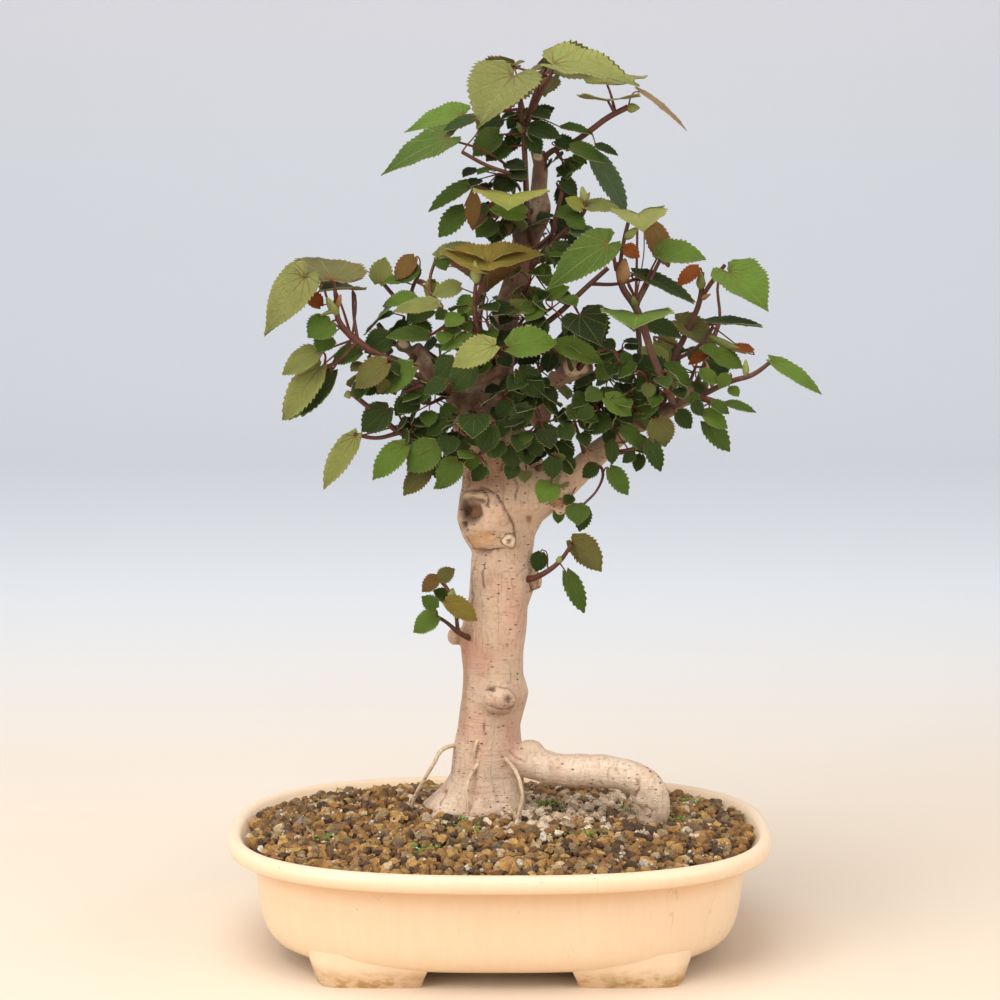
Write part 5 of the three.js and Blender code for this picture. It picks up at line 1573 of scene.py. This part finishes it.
            (488, 264, -34, 543, 249, 48, 30, -1, "gold"),
            (489, 263, -32, 487, 284, 92, 0, -1, "burnt"),
            (437, 256, -12, 474, 243, 24, 30, 1, "light"),
            (440, 258, -16, 446, 270, 15, 60, 1, "mid"),
            (460, 287, -22, 432, 294, 23, 45, 1, "light"),
            (436, 282, -14, 425, 296, 17, 55, 1, "yellow"),
            (471, 298, -24, 457, 313, 18, 55, 1, "bright"),
            (428, 337, -26, 386, 334, 28, 30, 1, "mid"),
            (470, 338, -30, 439, 349, 20, 40, 1, "bright"),
            (479, 350, -34, 455, 353, 16, 45, 1, "bright"),
            (494, 346, -58, 451, 364, 34, 50, 1, "light"),
            (490, 364, -34, 469, 373, 18, 45, 1, "mid"),
        ],
        "buds": [(476, 284, -36, 475, 260, 11)],
    },
    "shoot_left_middle": {
        "stems": [
            [(446, 396, 0, 8), (440, 388, -24, 6), (420, 386, -28, 5), (404, 392, -30, 4.5)],
            [(446, 396, 0, 8), (450, 382, -28, 6), (454, 366, -30, 4)],
        ],
        "leaves": [
            (454, 360, -34, 435, 380, 26, 60, 1, "dark"),
            (473, 366, -44, 451, 391, 28, 60, 1, "dark"),
            (430, 389, -30, 408, 403, 20, 50, 1, "dark"),
            (446, 382, -48, 423, 393, 20, 45, 1, "dark"),
        ],
    },
    "shoot_trunk_left": {
        "stems": [
            [(474, 640, 8, 7), (458, 632, -4, 5), (446, 622, -8, 4), (438, 617, -10, 4)],
            [(458, 632, -4, 4.5), (455, 610, -8, 4), (448, 590, -8, 4), (440, 580, -8, 4)],
        ],
        "leaves": [
            (447, 602, -14, 479, 619, 24, 45, 1, "gold"),
            (437, 616, -10, 412, 631, 26, 40, 1, "bright"),
            (436, 608, -16, 422, 596, 17, 50, 1, "mid"),
            (450, 600, -4, 434, 589, 18, 40, 1, "mid"),
            (438, 578, -8, 421, 591, 18, 45, 1, "bronze"),
            (440, 580, -10, 454, 568, 18, 45, 1, "olive"),
        ],
        "buds": [(452, 598, -8, 453, 588, 9)],
    },
    "shoot_trunk_right": {
        "stems": [
            [(526, 580, 8, 7), (540, 575.5, -2, 6), (559, 562, -6, 5), (572, 544, -8, 4)],
        ],
        "leaves": [
            (572, 541, -8, 604, 569, 42, -40, 1, "olive"),
            (567, 573, -10, 586, 614, 19, 60, 1, "mid"),
            (541, 553, 4, 536, 572, 18, 60, 1, "dark"),
        ],
        "buds": [(557, 564, -8, 561, 556, 7)],
    },
}

# More leaves about the inner twigs: the middle, the half sizes across, down and back, how many, the narrowest
# and the widest, their tones and where the twig starts
# the inner leaves mostly take the dark and deep tones: painted shade inside the crown
fills = {
    "shoot_leader": [
        (524, 122, -12, 16, 14, 8, 6, 14, 20, "dark mid", (524, 150, -10)),
        (498, 174, -16, 24, 12, 6, 8, 14, 22, "dark deep mid", (522, 180, -10)),
    ],
    "shoot_top_right": [(562, 160, 4, 12, 8, 5, 5, 12, 18, "dark mid", (556, 150, 4))],
    "shoot_upper_left": [(500, 214, -12, 18, 16, 8, 8, 14, 22, "mid dark bronze", (520, 222, 0))],
    "shoot_upper_right": [
        (556, 230, -10, 16, 20, 8, 7, 14, 24, "deep dark mid", (534, 250, 0)),
        (566, 256, -14, 16, 10, 8, 5, 14, 22, "dark mid", (534, 262, 0)),
    ],
    "shoot_centre_top": [
        (524, 318, -18, 18, 24, 10, 9, 15, 24, "dark mid deep", (508, 340, -4)),
        (552, 308, -22, 20, 18, 10, 8, 15, 24, "dark mid bright", (516, 330, -4)),
        (556, 344, -22, 20, 12, 10, 7, 14, 24, "dark deep mid", (520, 350, 0)),
        (530, 282, -14, 14, 20, 8, 6, 14, 20, "mid bright", (520, 300, -4)),
    ],
    "shoot_knot": [
        (608, 378, 4, 22, 14, 10, 9, 15, 24, "dark mid deep", (590, 372, -8)),
        (622, 350, -26, 16, 12, 8, 6, 14, 20, "dark mid", (596, 366, -14)),
    ],
    "shoot_right_long": [
        (646, 376, -34, 16, 12, 10, 7, 14, 24, "dark mid deep", (664, 396, -16)),
        (664, 384, -34, 16, 14, 8, 6, 14, 22, "dark mid", (674, 402, -14)),
    ],
    "shoot_limb_under": [(630, 440, 2, 12, 5, 6, 4, 13, 18, "dark mid deep", (630, 434, -6))],
    "shoot_limb_top": [
        (602, 406, -26, 22, 18, 8, 9, 15, 24, "dark mid bright deep", (610, 434, -14)),
        (632, 404, -26, 18, 12, 8, 7, 14, 24, "dark mid", (640, 418, -14)),
        (574, 420, -28, 14, 18, 8, 7, 14, 22, "dark deep", (584, 452, -10)),
    ],
    "shoot_centre_right": [
        (540, 420, -34, 20, 24, 8, 11, 15, 26, "dark deep mid", (532, 440, -14)),
        (556, 448, -28, 14, 10, 8, 5, 14, 24, "mid dark", (548, 462, -14)),
        (524, 388, -32, 20, 14, 8, 8, 15, 24, "dark deep", (520, 404, -14)),
        (526, 464, -30, 10, 8, 6, 3, 14, 20, "mid bright dark", (522, 450, -18)),
    ],
    "shoot_centre_left": [
        (462, 430, -30, 10, 16, 8, 5, 15, 24, "dark deep mid", (474, 440, -16)),
        (504, 396, -34, 12, 14, 8, 5, 15, 24, "dark deep", (500, 410, -16)),
        (478, 456, -32, 14, 8, 6, 4, 14, 20, "mid bright dark", (484, 450, -18)),
    ],
    "shoot_low_left": [
        (440, 444, -18, 20, 16, 8, 9, 15, 24, "mid dark bright", (458, 446, -8)),
        (412, 426, -22, 10, 6, 8, 4, 13, 18, "mid dark", (424, 434, -14)),
    ],
    "shoot_left_long": [
        (376, 372, -28, 18, 14, 8, 7, 15, 24, "mid dark olive", (390, 360, -24)),
        (380, 344, -16, 12, 8, 5, 4, 13, 20, "dark deep", (390, 352, -20)),
    ],
    "shoot_left_upper": [
        (404, 316, 4, 14, 18, 8, 6, 14, 22, "mid bright", (404, 345, 6)),
        (440, 356, 4, 18, 14, 10, 8, 14, 24, "mid dark", (434, 372, 2)),
    ],
    "shoot_left_high": [
        (474, 322, -26, 18, 20, 8, 9, 15, 24, "mid dark bright", (484, 346, -14)),
        (492, 352, -26, 16, 12, 8, 6, 14, 22, "dark deep", (494, 360, -10)),
        (450, 322, -22, 14, 14, 6, 4, 14, 20, "mid bright", (456, 320, -20)),
    ],
    "shoot_left_middle": [
        (430, 404, -24, 18, 12, 8, 7, 15, 24, "mid dark deep", (446, 396, -8)),
        (416, 386, -26, 12, 9, 6, 4, 14, 20, "mid dark bright", (424, 384, -16)),
    ],
    "shoot_back_left": [(420, 372, 34, 34, 22, 14, 10, 16, 28, "dark mid", (448, 392, 8))],
    "shoot_back_low": [(440, 440, 34, 30, 20, 12, 10, 16, 28, "dark mid", (470, 440, 10))],
    "shoot_back_middle": [(486, 320, 36, 26, 26, 12, 12, 16, 28, "dark mid", (500, 350, 10))],
    "shoot_back_high": [(552, 240, 28, 20, 22, 10, 9, 15, 26, "dark mid", (534, 250, 8))],
    "shoot_back_right": [(636, 380, 30, 28, 26, 12, 12, 16, 28, "dark mid", (632, 420, -4))],
    "shoot_back_end": [(696, 366, 34, 22, 20, 10, 8, 15, 26, "dark mid", (684, 398, -6))],
    "shoot_back_centre": [
        (540, 372, 38, 26, 28, 12, 14, 16, 28, "dark mid deep", (508, 400, 12)),
        (504, 430, 36, 26, 26, 10, 12, 16, 28, "dark mid", (500, 440, 14)),
    ],
}


# Behind the crown: a shoot that repeats leaves of one in front, turned to face away and set back
behind = {
    "shoot_back_top": ("shoot_leader", 6, [(538, 170, 8, 7), (528, 130, 34, 5), (520, 96, 50, 4)], 68),
    "shoot_back_left": ("shoot_left_long", 9, [(448, 392, 12, 8), (400, 366, 40, 6), (352, 340, 60, 5)], 92),
    "shoot_back_low": ("shoot_low_left", 8, [(470, 440, 14, 8), (440, 436, 44, 6), (404, 424, 60, 5)], 84),
    "shoot_back_middle": (
        "shoot_left_high", 7, [(500, 350, 14, 8), (480, 330, 44, 6), (484, 290, 62, 5)], 92,
    ),
    "shoot_back_high": (
        "shoot_upper_right", 7, [(534, 250, 10, 7), (556, 236, 36, 5), (580, 222, 50, 4)], 62,
    ),
    "shoot_back_right": (
        "shoot_right_long", 8, [(632, 425, -4, 8), (640, 370, 40, 6), (636, 300, 56, 5)], 96,
    ),
    "shoot_back_end": ("shoot_right_tall", 8, [(682, 402, -9, 8), (700, 376, 44, 6), (720, 320, 60, 5)], 62),
    "shoot_back_centre": (
        "shoot_centre_top", 5, [(508, 400, 14, 10), (540, 370, 46, 6), (556, 340, 58, 5)], 92,
    ),
}


def between(places, at):
    # the value at a place in a list of places and values
    return float(np.interp(at, [place for place, value in places], [value for place, value in places]))


def leafModel(size):
    # a flat leaf with its stalk at 0, 0 and its tip at 0, 1, half as wide as 1
    columns, rows, tooth, kind = foliage["nets"][size]
    outline, lobes = foliage["outlines"][kind], foliage["lobes"][kind]
    leaf = added(
        f"leaf{size}", bpy.ops.mesh.primitive_grid_add, x_subdivisions=columns, y_subdivisions=rows, size=2.0,
    )
    margins = []
    for vertex in leaf.data.vertices:
        u, v = vertex.co.x, (vertex.co.y + 1) / 2
        row = round(v * rows)
        low = between(lobes, abs(u))
        edge = -0.11 + 1.11 * v ** 1.04
        width = between(outline, edge)
        high = low + (1.0 - low) * v ** (1.0 + 0.12 * (1 - abs(u)))
        teeth = (tooth * 0.7 if row % 2 else -tooth * 0.6) * abs(u) ** 8 * (1 - v) ** 0.3
        column = round((u + 1) / 2 * columns)
        notch = (0.018 if column % 2 else -0.008) * (1 - v) ** 30
        share = abs(u) ** (0.92 if v > 0.1 else 1.0)
        vertex.co.x = math.copysign(share * width * (1 + teeth), u) if u else 0.0
        vertex.co.y = high - notch + max(teeth, 0.0) * 0.5 * abs(u) ** 4
        margins.append(max(abs(u), 1 - v / 0.1, (v - 0.93) / 0.07))
    points = np.array([vertex.co.xy for vertex in leaf.data.vertices])
    loops = [tuple(face.vertices) for face in leaf.data.polygons]
    uses = {}
    for loop in loops:
        for start, end in zip(loop, loop[1:] + loop[:1]):
            uses[(start, end)] = True
    rim = [edge for edge in uses if (edge[1], edge[0]) not in uses]
    removed([leaf])
    return points, loops, rim, np.array(margins)


def leafFrame(row):
    # where a leaf lies, which way it runs and which way it faces
    across, down, back, tipAcross, tipDown, width, roll, lean = row[:8]
    base = seen(across, down, back)
    scale = seenScale(back)
    shown = math.hypot(tipAcross - across, tipDown - down)
    hidden = math.sqrt(max(0.0, (1.02 * width) ** 2 - shown ** 2)) * scale * 1000
    tip = seen(tipAcross, tipDown, back - lean * hidden)
    along = (tip - base).normalized()
    turn = math.radians(roll)
    facing = Vector((0.0, -math.sin(turn), math.cos(turn)))
    out = (facing - along * facing.dot(along)).normalized()
    size = "middle" if width >= foliage["middleFrom"] else "small"
    if width >= foliage["largeFrom"]:
        size = "large"
    return {
        "base": base, "length": (tip - base).length, "half": width / 2 * scale,
        "along": along, "side": along.cross(out), "out": out, "size": size,
        "big": min(1.0, max(0.0, (width - 16) / 40)),
    }


def leafPoints(place, model, seed):
    # a leaf's points, folded, drooping and waved, with each one's place on the flat leaf
    points, loops, rim, margins = model
    s, t = points[:, 0], points[:, 1]
    half, length = place["half"], place["length"]
    fold = 0.1 + 0.22 * chance(seed)
    droop = 0.08 + 0.16 * chance(seed + 0.37)
    wave = 0.05 * (chance(seed + 0.71) - 0.3)
    lift = fold * np.abs(s) * half - droop * t * t * length * 0.6 - wave * half * s * s * np.sin(9 * t)
    lift += 0.035 * half * s * s * np.sin(17 * t + 6 * chance(seed + 0.11)) * np.sign(s)
    lift += 0.02 * half * np.sin(np.abs(s) * 7 + t * 5)
    spots = (
        np.array(place["base"])
        + np.outer(s * half, np.array(place["side"]))
        + np.outer(t * length, np.array(place["along"]))
        + np.outer(lift, np.array(place["out"]))
    )
    return spots, np.column_stack((s * half / length, t, margins))


def nearestOn(stems, point):
    # the spot on the stems that is nearest to the point
    best, near = 1e9, None
    for stem in stems:
        for start, end in zip(stem, stem[1:]):
            line = end - start
            share = min(1.0, max(0.0, (point - start).dot(line) / line.length_squared))
            spot = start + line * share
            if (spot - point).length < best:
                best, near = (spot - point).length, spot
    return near


def petioleRoute(place, start):
    # the stalk's way from its stem to under the leaf
    base, along, out, length = place["base"], place["along"], place["out"], place["length"]
    gap = (base - start).length
    if gap < 0.002:
        return []
    heading = (start - base).normalized()
    thick = foliage["petiole"] / 2 * foliage["petioleShares"][place["size"]]
    route = [(start, thick * 1.35)]
    if gap > 0.034:
        route.append((start.lerp(base, 0.5) + Vector((0.0, 0.0, gap * 0.07)), thick))
    if heading.dot(along) > -0.25 and gap > 0.005:
        reach = min(gap * 0.35, length * 0.12 + 0.0015)
        route.append((base - along * reach * 0.6 - out * reach * 0.7, thick))
    route.append((base + along * length * 0.02 - out * 0.0002, thick * 0.9))
    return route


def fillShoot(fill, seed):
    # a twig to the middle of each group and leaves set about it, hanging outward and down
    stems, rows = [], []
    for across, down, back, wide, high, deep, count, small, big, tones, root in fill:
        middle = [(root[i] + (across, down, back)[i]) / 2 for i in range(3)]
        stems.append([(*root, 5), (*middle, 4), (across, down, back, 3)])
        tones = tones.split()
        for number in range(count):
            seed += 1.37
            turn = math.tau * (number + chance(seed)) / count
            out = 0.35 + 0.65 * math.sqrt(chance(seed + 0.2))
            spot = (
                across + wide * out * math.cos(turn), down + high * out * math.sin(turn),
                back + deep * (2 * chance(seed + 0.4) - 1),
            )
            size = small + (big - small) * chance(seed + 0.6) ** 1.3
            sway = 0.4 * (chance(seed + 0.7) - 0.5)
            aim = math.atan2(0.5 * math.sin(turn) + 0.55, math.cos(turn) * 0.8 + sway)
            shown = size * (0.62 + 0.38 * chance(seed + 0.8))
            rows.append((
                *spot, spot[0] + math.cos(aim) * shown, spot[1] + math.sin(aim) * shown, size,
                8 + 46 * chance(seed + 0.9), -1 if chance(seed + 0.3) < 0.4 else 1,
                tones[int(chance(seed + 0.5) * len(tones))],
            ))
    return stems, rows


def blades(name, leaves, models, seeds):
    # all the leaves of one shoot in one mesh, upper and under sides joined round the rim
    vertices, faces, tone, flush, blade, under = [], [], [], [], [], []
    count = 0
    for (place, style), seed in zip(leaves, seeds):
        model = models[place["size"]]
        spots, net = leafPoints(place, model, seed)
        lift = np.array(place["out"]) * foliage["blade"] / 2
        upper, edge, strength, lower = foliage["tones"][style]
        shade = 0.88 + 0.24 * chance(seed + 0.53)
        number = len(spots)
        vertices += [spots + lift, spots - lift]
        low, top = count + number, count
        faces.extend([tuple(top + index for index in loop) for loop in model[1]])
        faces.extend([tuple(low + index for index in reversed(loop)) for loop in model[1]])
        faces.extend([(top + end, top + start, low + start, low + end) for start, end in model[2]])
        for colour, side in ((upper, 0.0), (lower, 1.0)):
            tone.append(np.tile([*(part * shade for part in colour), place["big"]], (number, 1)))
            flush.append(np.tile([*edge, strength], (number, 1)))
            blade.append(net)
            under.append(np.full(number, side))
        count += number * 2
    thing = pieceOf(name, np.concatenate(vertices), faces)
    for title, kind, values, field in (
        ("tone", "FLOAT_COLOR", tone, "color"), ("flush", "FLOAT_COLOR", flush, "color"),
        ("blade", "FLOAT_VECTOR", blade, "vector"), ("under", "FLOAT", under, "value"),
    ):
        layered(thing, title, np.concatenate(values).astype(float).ravel(), kind, field)
    return smoothed(thing, 65)


def budModel():
    # a pointed bud of overlapping bracts, from 0 to 1 along z
    sphere = bpy.ops.mesh.primitive_uv_sphere_add
    bud = added("bud", sphere, segments=10, ring_count=7, radius=0.5, location=(0, 0, 0.5))
    settled(bud)
    for vertex in bud.data.vertices:
        turn = math.atan2(vertex.co.y, vertex.co.x)
        height = vertex.co.z
        taper = 1.0 - 0.72 * max(0.0, height - 0.35) ** 1.1
        groove = 1.0 + 0.12 * math.cos(3 * turn + height * 4)
        vertex.co.x *= taper * groove
        vertex.co.y *= taper * groove
    return bud


def budPlaces(rows, stems):
    # each bud stands on the nearest stem and reaches to its tip
    places = []
    for across, down, back, tipAcross, tipDown, width in rows:
        base = nearestOn(stems, seen(across, down, back))
        tip = seen(tipAcross, tipDown, back)
        up = tip - base
        turn = Vector((0, 0, 1)).rotation_difference(up.normalized()).to_matrix()
        half = width * seenScale(back)
        sizes = (half, half, up.length)
        places.append((0, [[turn[r][c] * sizes[c] for c in range(3)] for r in range(3)], tuple(base)))
    return places


def makeShoot(name, shoot, seed, models, bud, finishes):
    moreStems, moreLeaves = fillShoot(fills.get(name, []), seed * 7.31)
    allStems = shoot["stems"] + moreStems
    stems = [[seen(*point[:3]) for point in stem] for stem in allStems]
    routes = [seenRoute(stem) for stem in allStems]
    petioles, leaves = [], []
    for row in shoot["leaves"] + moreLeaves:
        place = leafFrame(row)
        start = nearestOn(stems, seen(*row[9]) if len(row) > 9 else place["base"])
        route = petioleRoute(place, start)
        if route:
            petioles.append(route)
        leaves.append((place, row[8]))
    leafy = blades(name + "_leaves", leaves, models, [seed + index for index in range(len(leaves))])
    leafy.data.materials.append(finishes["leaf"])
    wood = tubes(name + "_stems", routes, steps=6, round=2)
    stalks = tubes(name + "_stalks", petioles, steps=5, round=1)
    parts = [wood, stalks]
    if shoot.get("buds"):
        places = budPlaces(shoot["buds"], stems)
        tones = [foliage["budTones"][index % 3] for index in range(len(places))]
        parts.append(copies(name + "_buds", [bud], places, tones))
    for part, tone in zip(parts, (foliage["stemTone"], foliage["stalkTone"])):
        layered(part, "tone", (*tone, 1.0) * len(part.data.vertices))
    for part in parts:
        painted(part, finishes["stem"])
        smoothed(part, 60)
    take(*parts, leafy)
    bpy.ops.object.join()
    leafy.name = name.replace("shoot_", "leaves_")
    return kept(leafy, foliage["slots"].get(name, "leaf_mid"), name)


def makeShoots():
    models = {size: leafModel(size) for size in foliage["nets"]}
    bud = budModel()
    finishes = {"leaf": leafPaint(), "stem": stemPaint()}
    for index, (name, shoot) in enumerate(shoots.items()):
        print("leaves:", name)
        makeShoot(name, shoot, 40 * (index + 1), models, bud, finishes)
    for index, (name, (source, count, stem, back)) in enumerate(behind.items()):
        print("leaves:", name)
        wide = [row for row in shoots[source]["leaves"] if row[5] >= foliage["middleFrom"]][:count]
        leaves = [
            (row[0], row[1], row[2] + back, row[3], row[4], row[5] * 0.92, -max(row[6], 20), -1, row[8])
            for row in wide
        ]
        makeShoot(name, {"stems": [stem], "leaves": leaves}, 40 * (index + 31), models, bud, finishes)
    removed([bud])


def leafPaint():
    print("leaves: paint")
    paint = Paint("leafSkin")
    tone = paint.attribute("tone")
    flush = paint.attribute("flush")
    strength = paint.attribute("flush", 3)
    under = paint.attribute("under", 2)
    net = paint.attribute("blade", 1)
    x, y, margin = paint.parts(net)
    wide = abs(x)
    reach = (x * x + y * y).root()
    angle = wide.turnFrom(y)
    thin = (1.0 - reach * 0.85) * 0.0085 + 0.002
    main = wide / thin
    for degrees, bend in ((34, 0.30), (66, 0.34), (104, 0.25)):
        course = math.radians(degrees) * (1.0 - bend * reach)
        main = main.least(abs(angle - course) * reach / (thin * 0.8))
    mainVein = 1.0 - main.span(0.55, 1.5)
    inner = 1.0 - angle.span(0.26, 0.34)
    fromMidrib = abs(((y - wide * 1.05) * 8.5).wrap() - 0.5)
    lean = angle - math.radians(32)
    run = reach * lean.cosine()
    rise = abs(reach * lean.sine())
    fromSide = abs(((run - rise * 0.95) * 9.0).wrap() - 0.5)
    second = fromMidrib * inner + fromSide * (1.0 - inner)
    sideVein = second.span(0.44, 0.49) * reach.span(0.10, 0.25)
    mesh = paint.cells(net, 34.0, "DISTANCE_TO_EDGE")
    fine = 1.0 - mesh.span(0.0, 0.07)
    patches = paint.cloud(paint.place(), 120.0, 4.0, 0.6)
    turning = strength * (margin.span(0.55, 1.0) * 0.7 + patches.span(0.45, 0.7) * 0.3)
    flushed = paint.mix(turning, tone, flush)
    darker = paint.mix(0.5, flushed, rgb(40, 52, 22))
    mottled = paint.mix(patches.span(0.35, 0.7) * 0.3, flushed, darker)
    pale = paint.mix(0.42, flushed, rgb(196, 200, 112))
    big = paint.attribute("tone", 3)
    netted = paint.mix(fine * 0.14, mottled, pale)
    sided = paint.mix(sideVein * 0.42, netted, pale)
    ribBase = paint.mix(strength, rgb(120, 112, 58), rgb(150, 70, 40))
    ribs = paint.mix(reach.span(0.05, 0.5), ribBase, pale)
    ribbed = paint.mix(mainVein * (0.3 + big * 0.5), sided, ribs)
    # painted highlight: a pale rim along the leaf's edge, where light catches the margin
    rimHighlight = paint.mix(margin.span(0.97, 1.0) * 0.45, ribbed, rgb(176, 178, 128))
    spots = 1.0 - paint.cells(paint.place(), 330.0).span(0.03, 0.11)
    few = paint.cloud(paint.place(), 45.0, 1.0).span(0.6, 0.68)
    marked = paint.mix(spots * few * 0.6, rimHighlight, rgb(120, 84, 48))
    swell = mesh.span(0.0, 0.3) * 0.25 - sideVein * 0.6 - mainVein * 1.0
    height = swell * (1.0 - under * 1.9) + patches * 0.3
    normal = paint.bump(height, 0.0009, 0.85)
    rough = 0.5 + patches * 0.14 + under * 0.2
    return paint.finish(Base_Color=marked, Roughness=rough, Normal=normal, Specular_IOR_Level=0.2)


def stemPaint():
    paint = Paint("stemSkin")
    spot = paint.place()
    tone = paint.attribute("tone")
    long = paint.cloud(paint.place((1.0, 1.0, 0.4)), 320.0, 4.0)
    browned = paint.mix(long.span(0.4, 0.7) * 0.4, tone, rgb(122, 70, 46))
    dots = 1.0 - paint.cells(spot, 620.0).span(0.05, 0.16)
    dotted = paint.mix(dots * 0.5, browned, rgb(150, 104, 74))
    fresh = paint.cloud(spot, 60.0, 2.0).span(0.5, 0.7)
    greened = paint.mix(fresh * 0.3, dotted, rgb(104, 88, 44))
    normal = paint.bump(long * 0.6 + dots * 0.5, 0.0004)
    return paint.finish(Base_Color=greened, Roughness=0.5 + long * 0.2, Normal=normal)


makeCamera()
makeStudio()
makePot()
makeSoil()
makeScreens()
makeGrains()
makeMoss()
makeTree()
makeShoots()
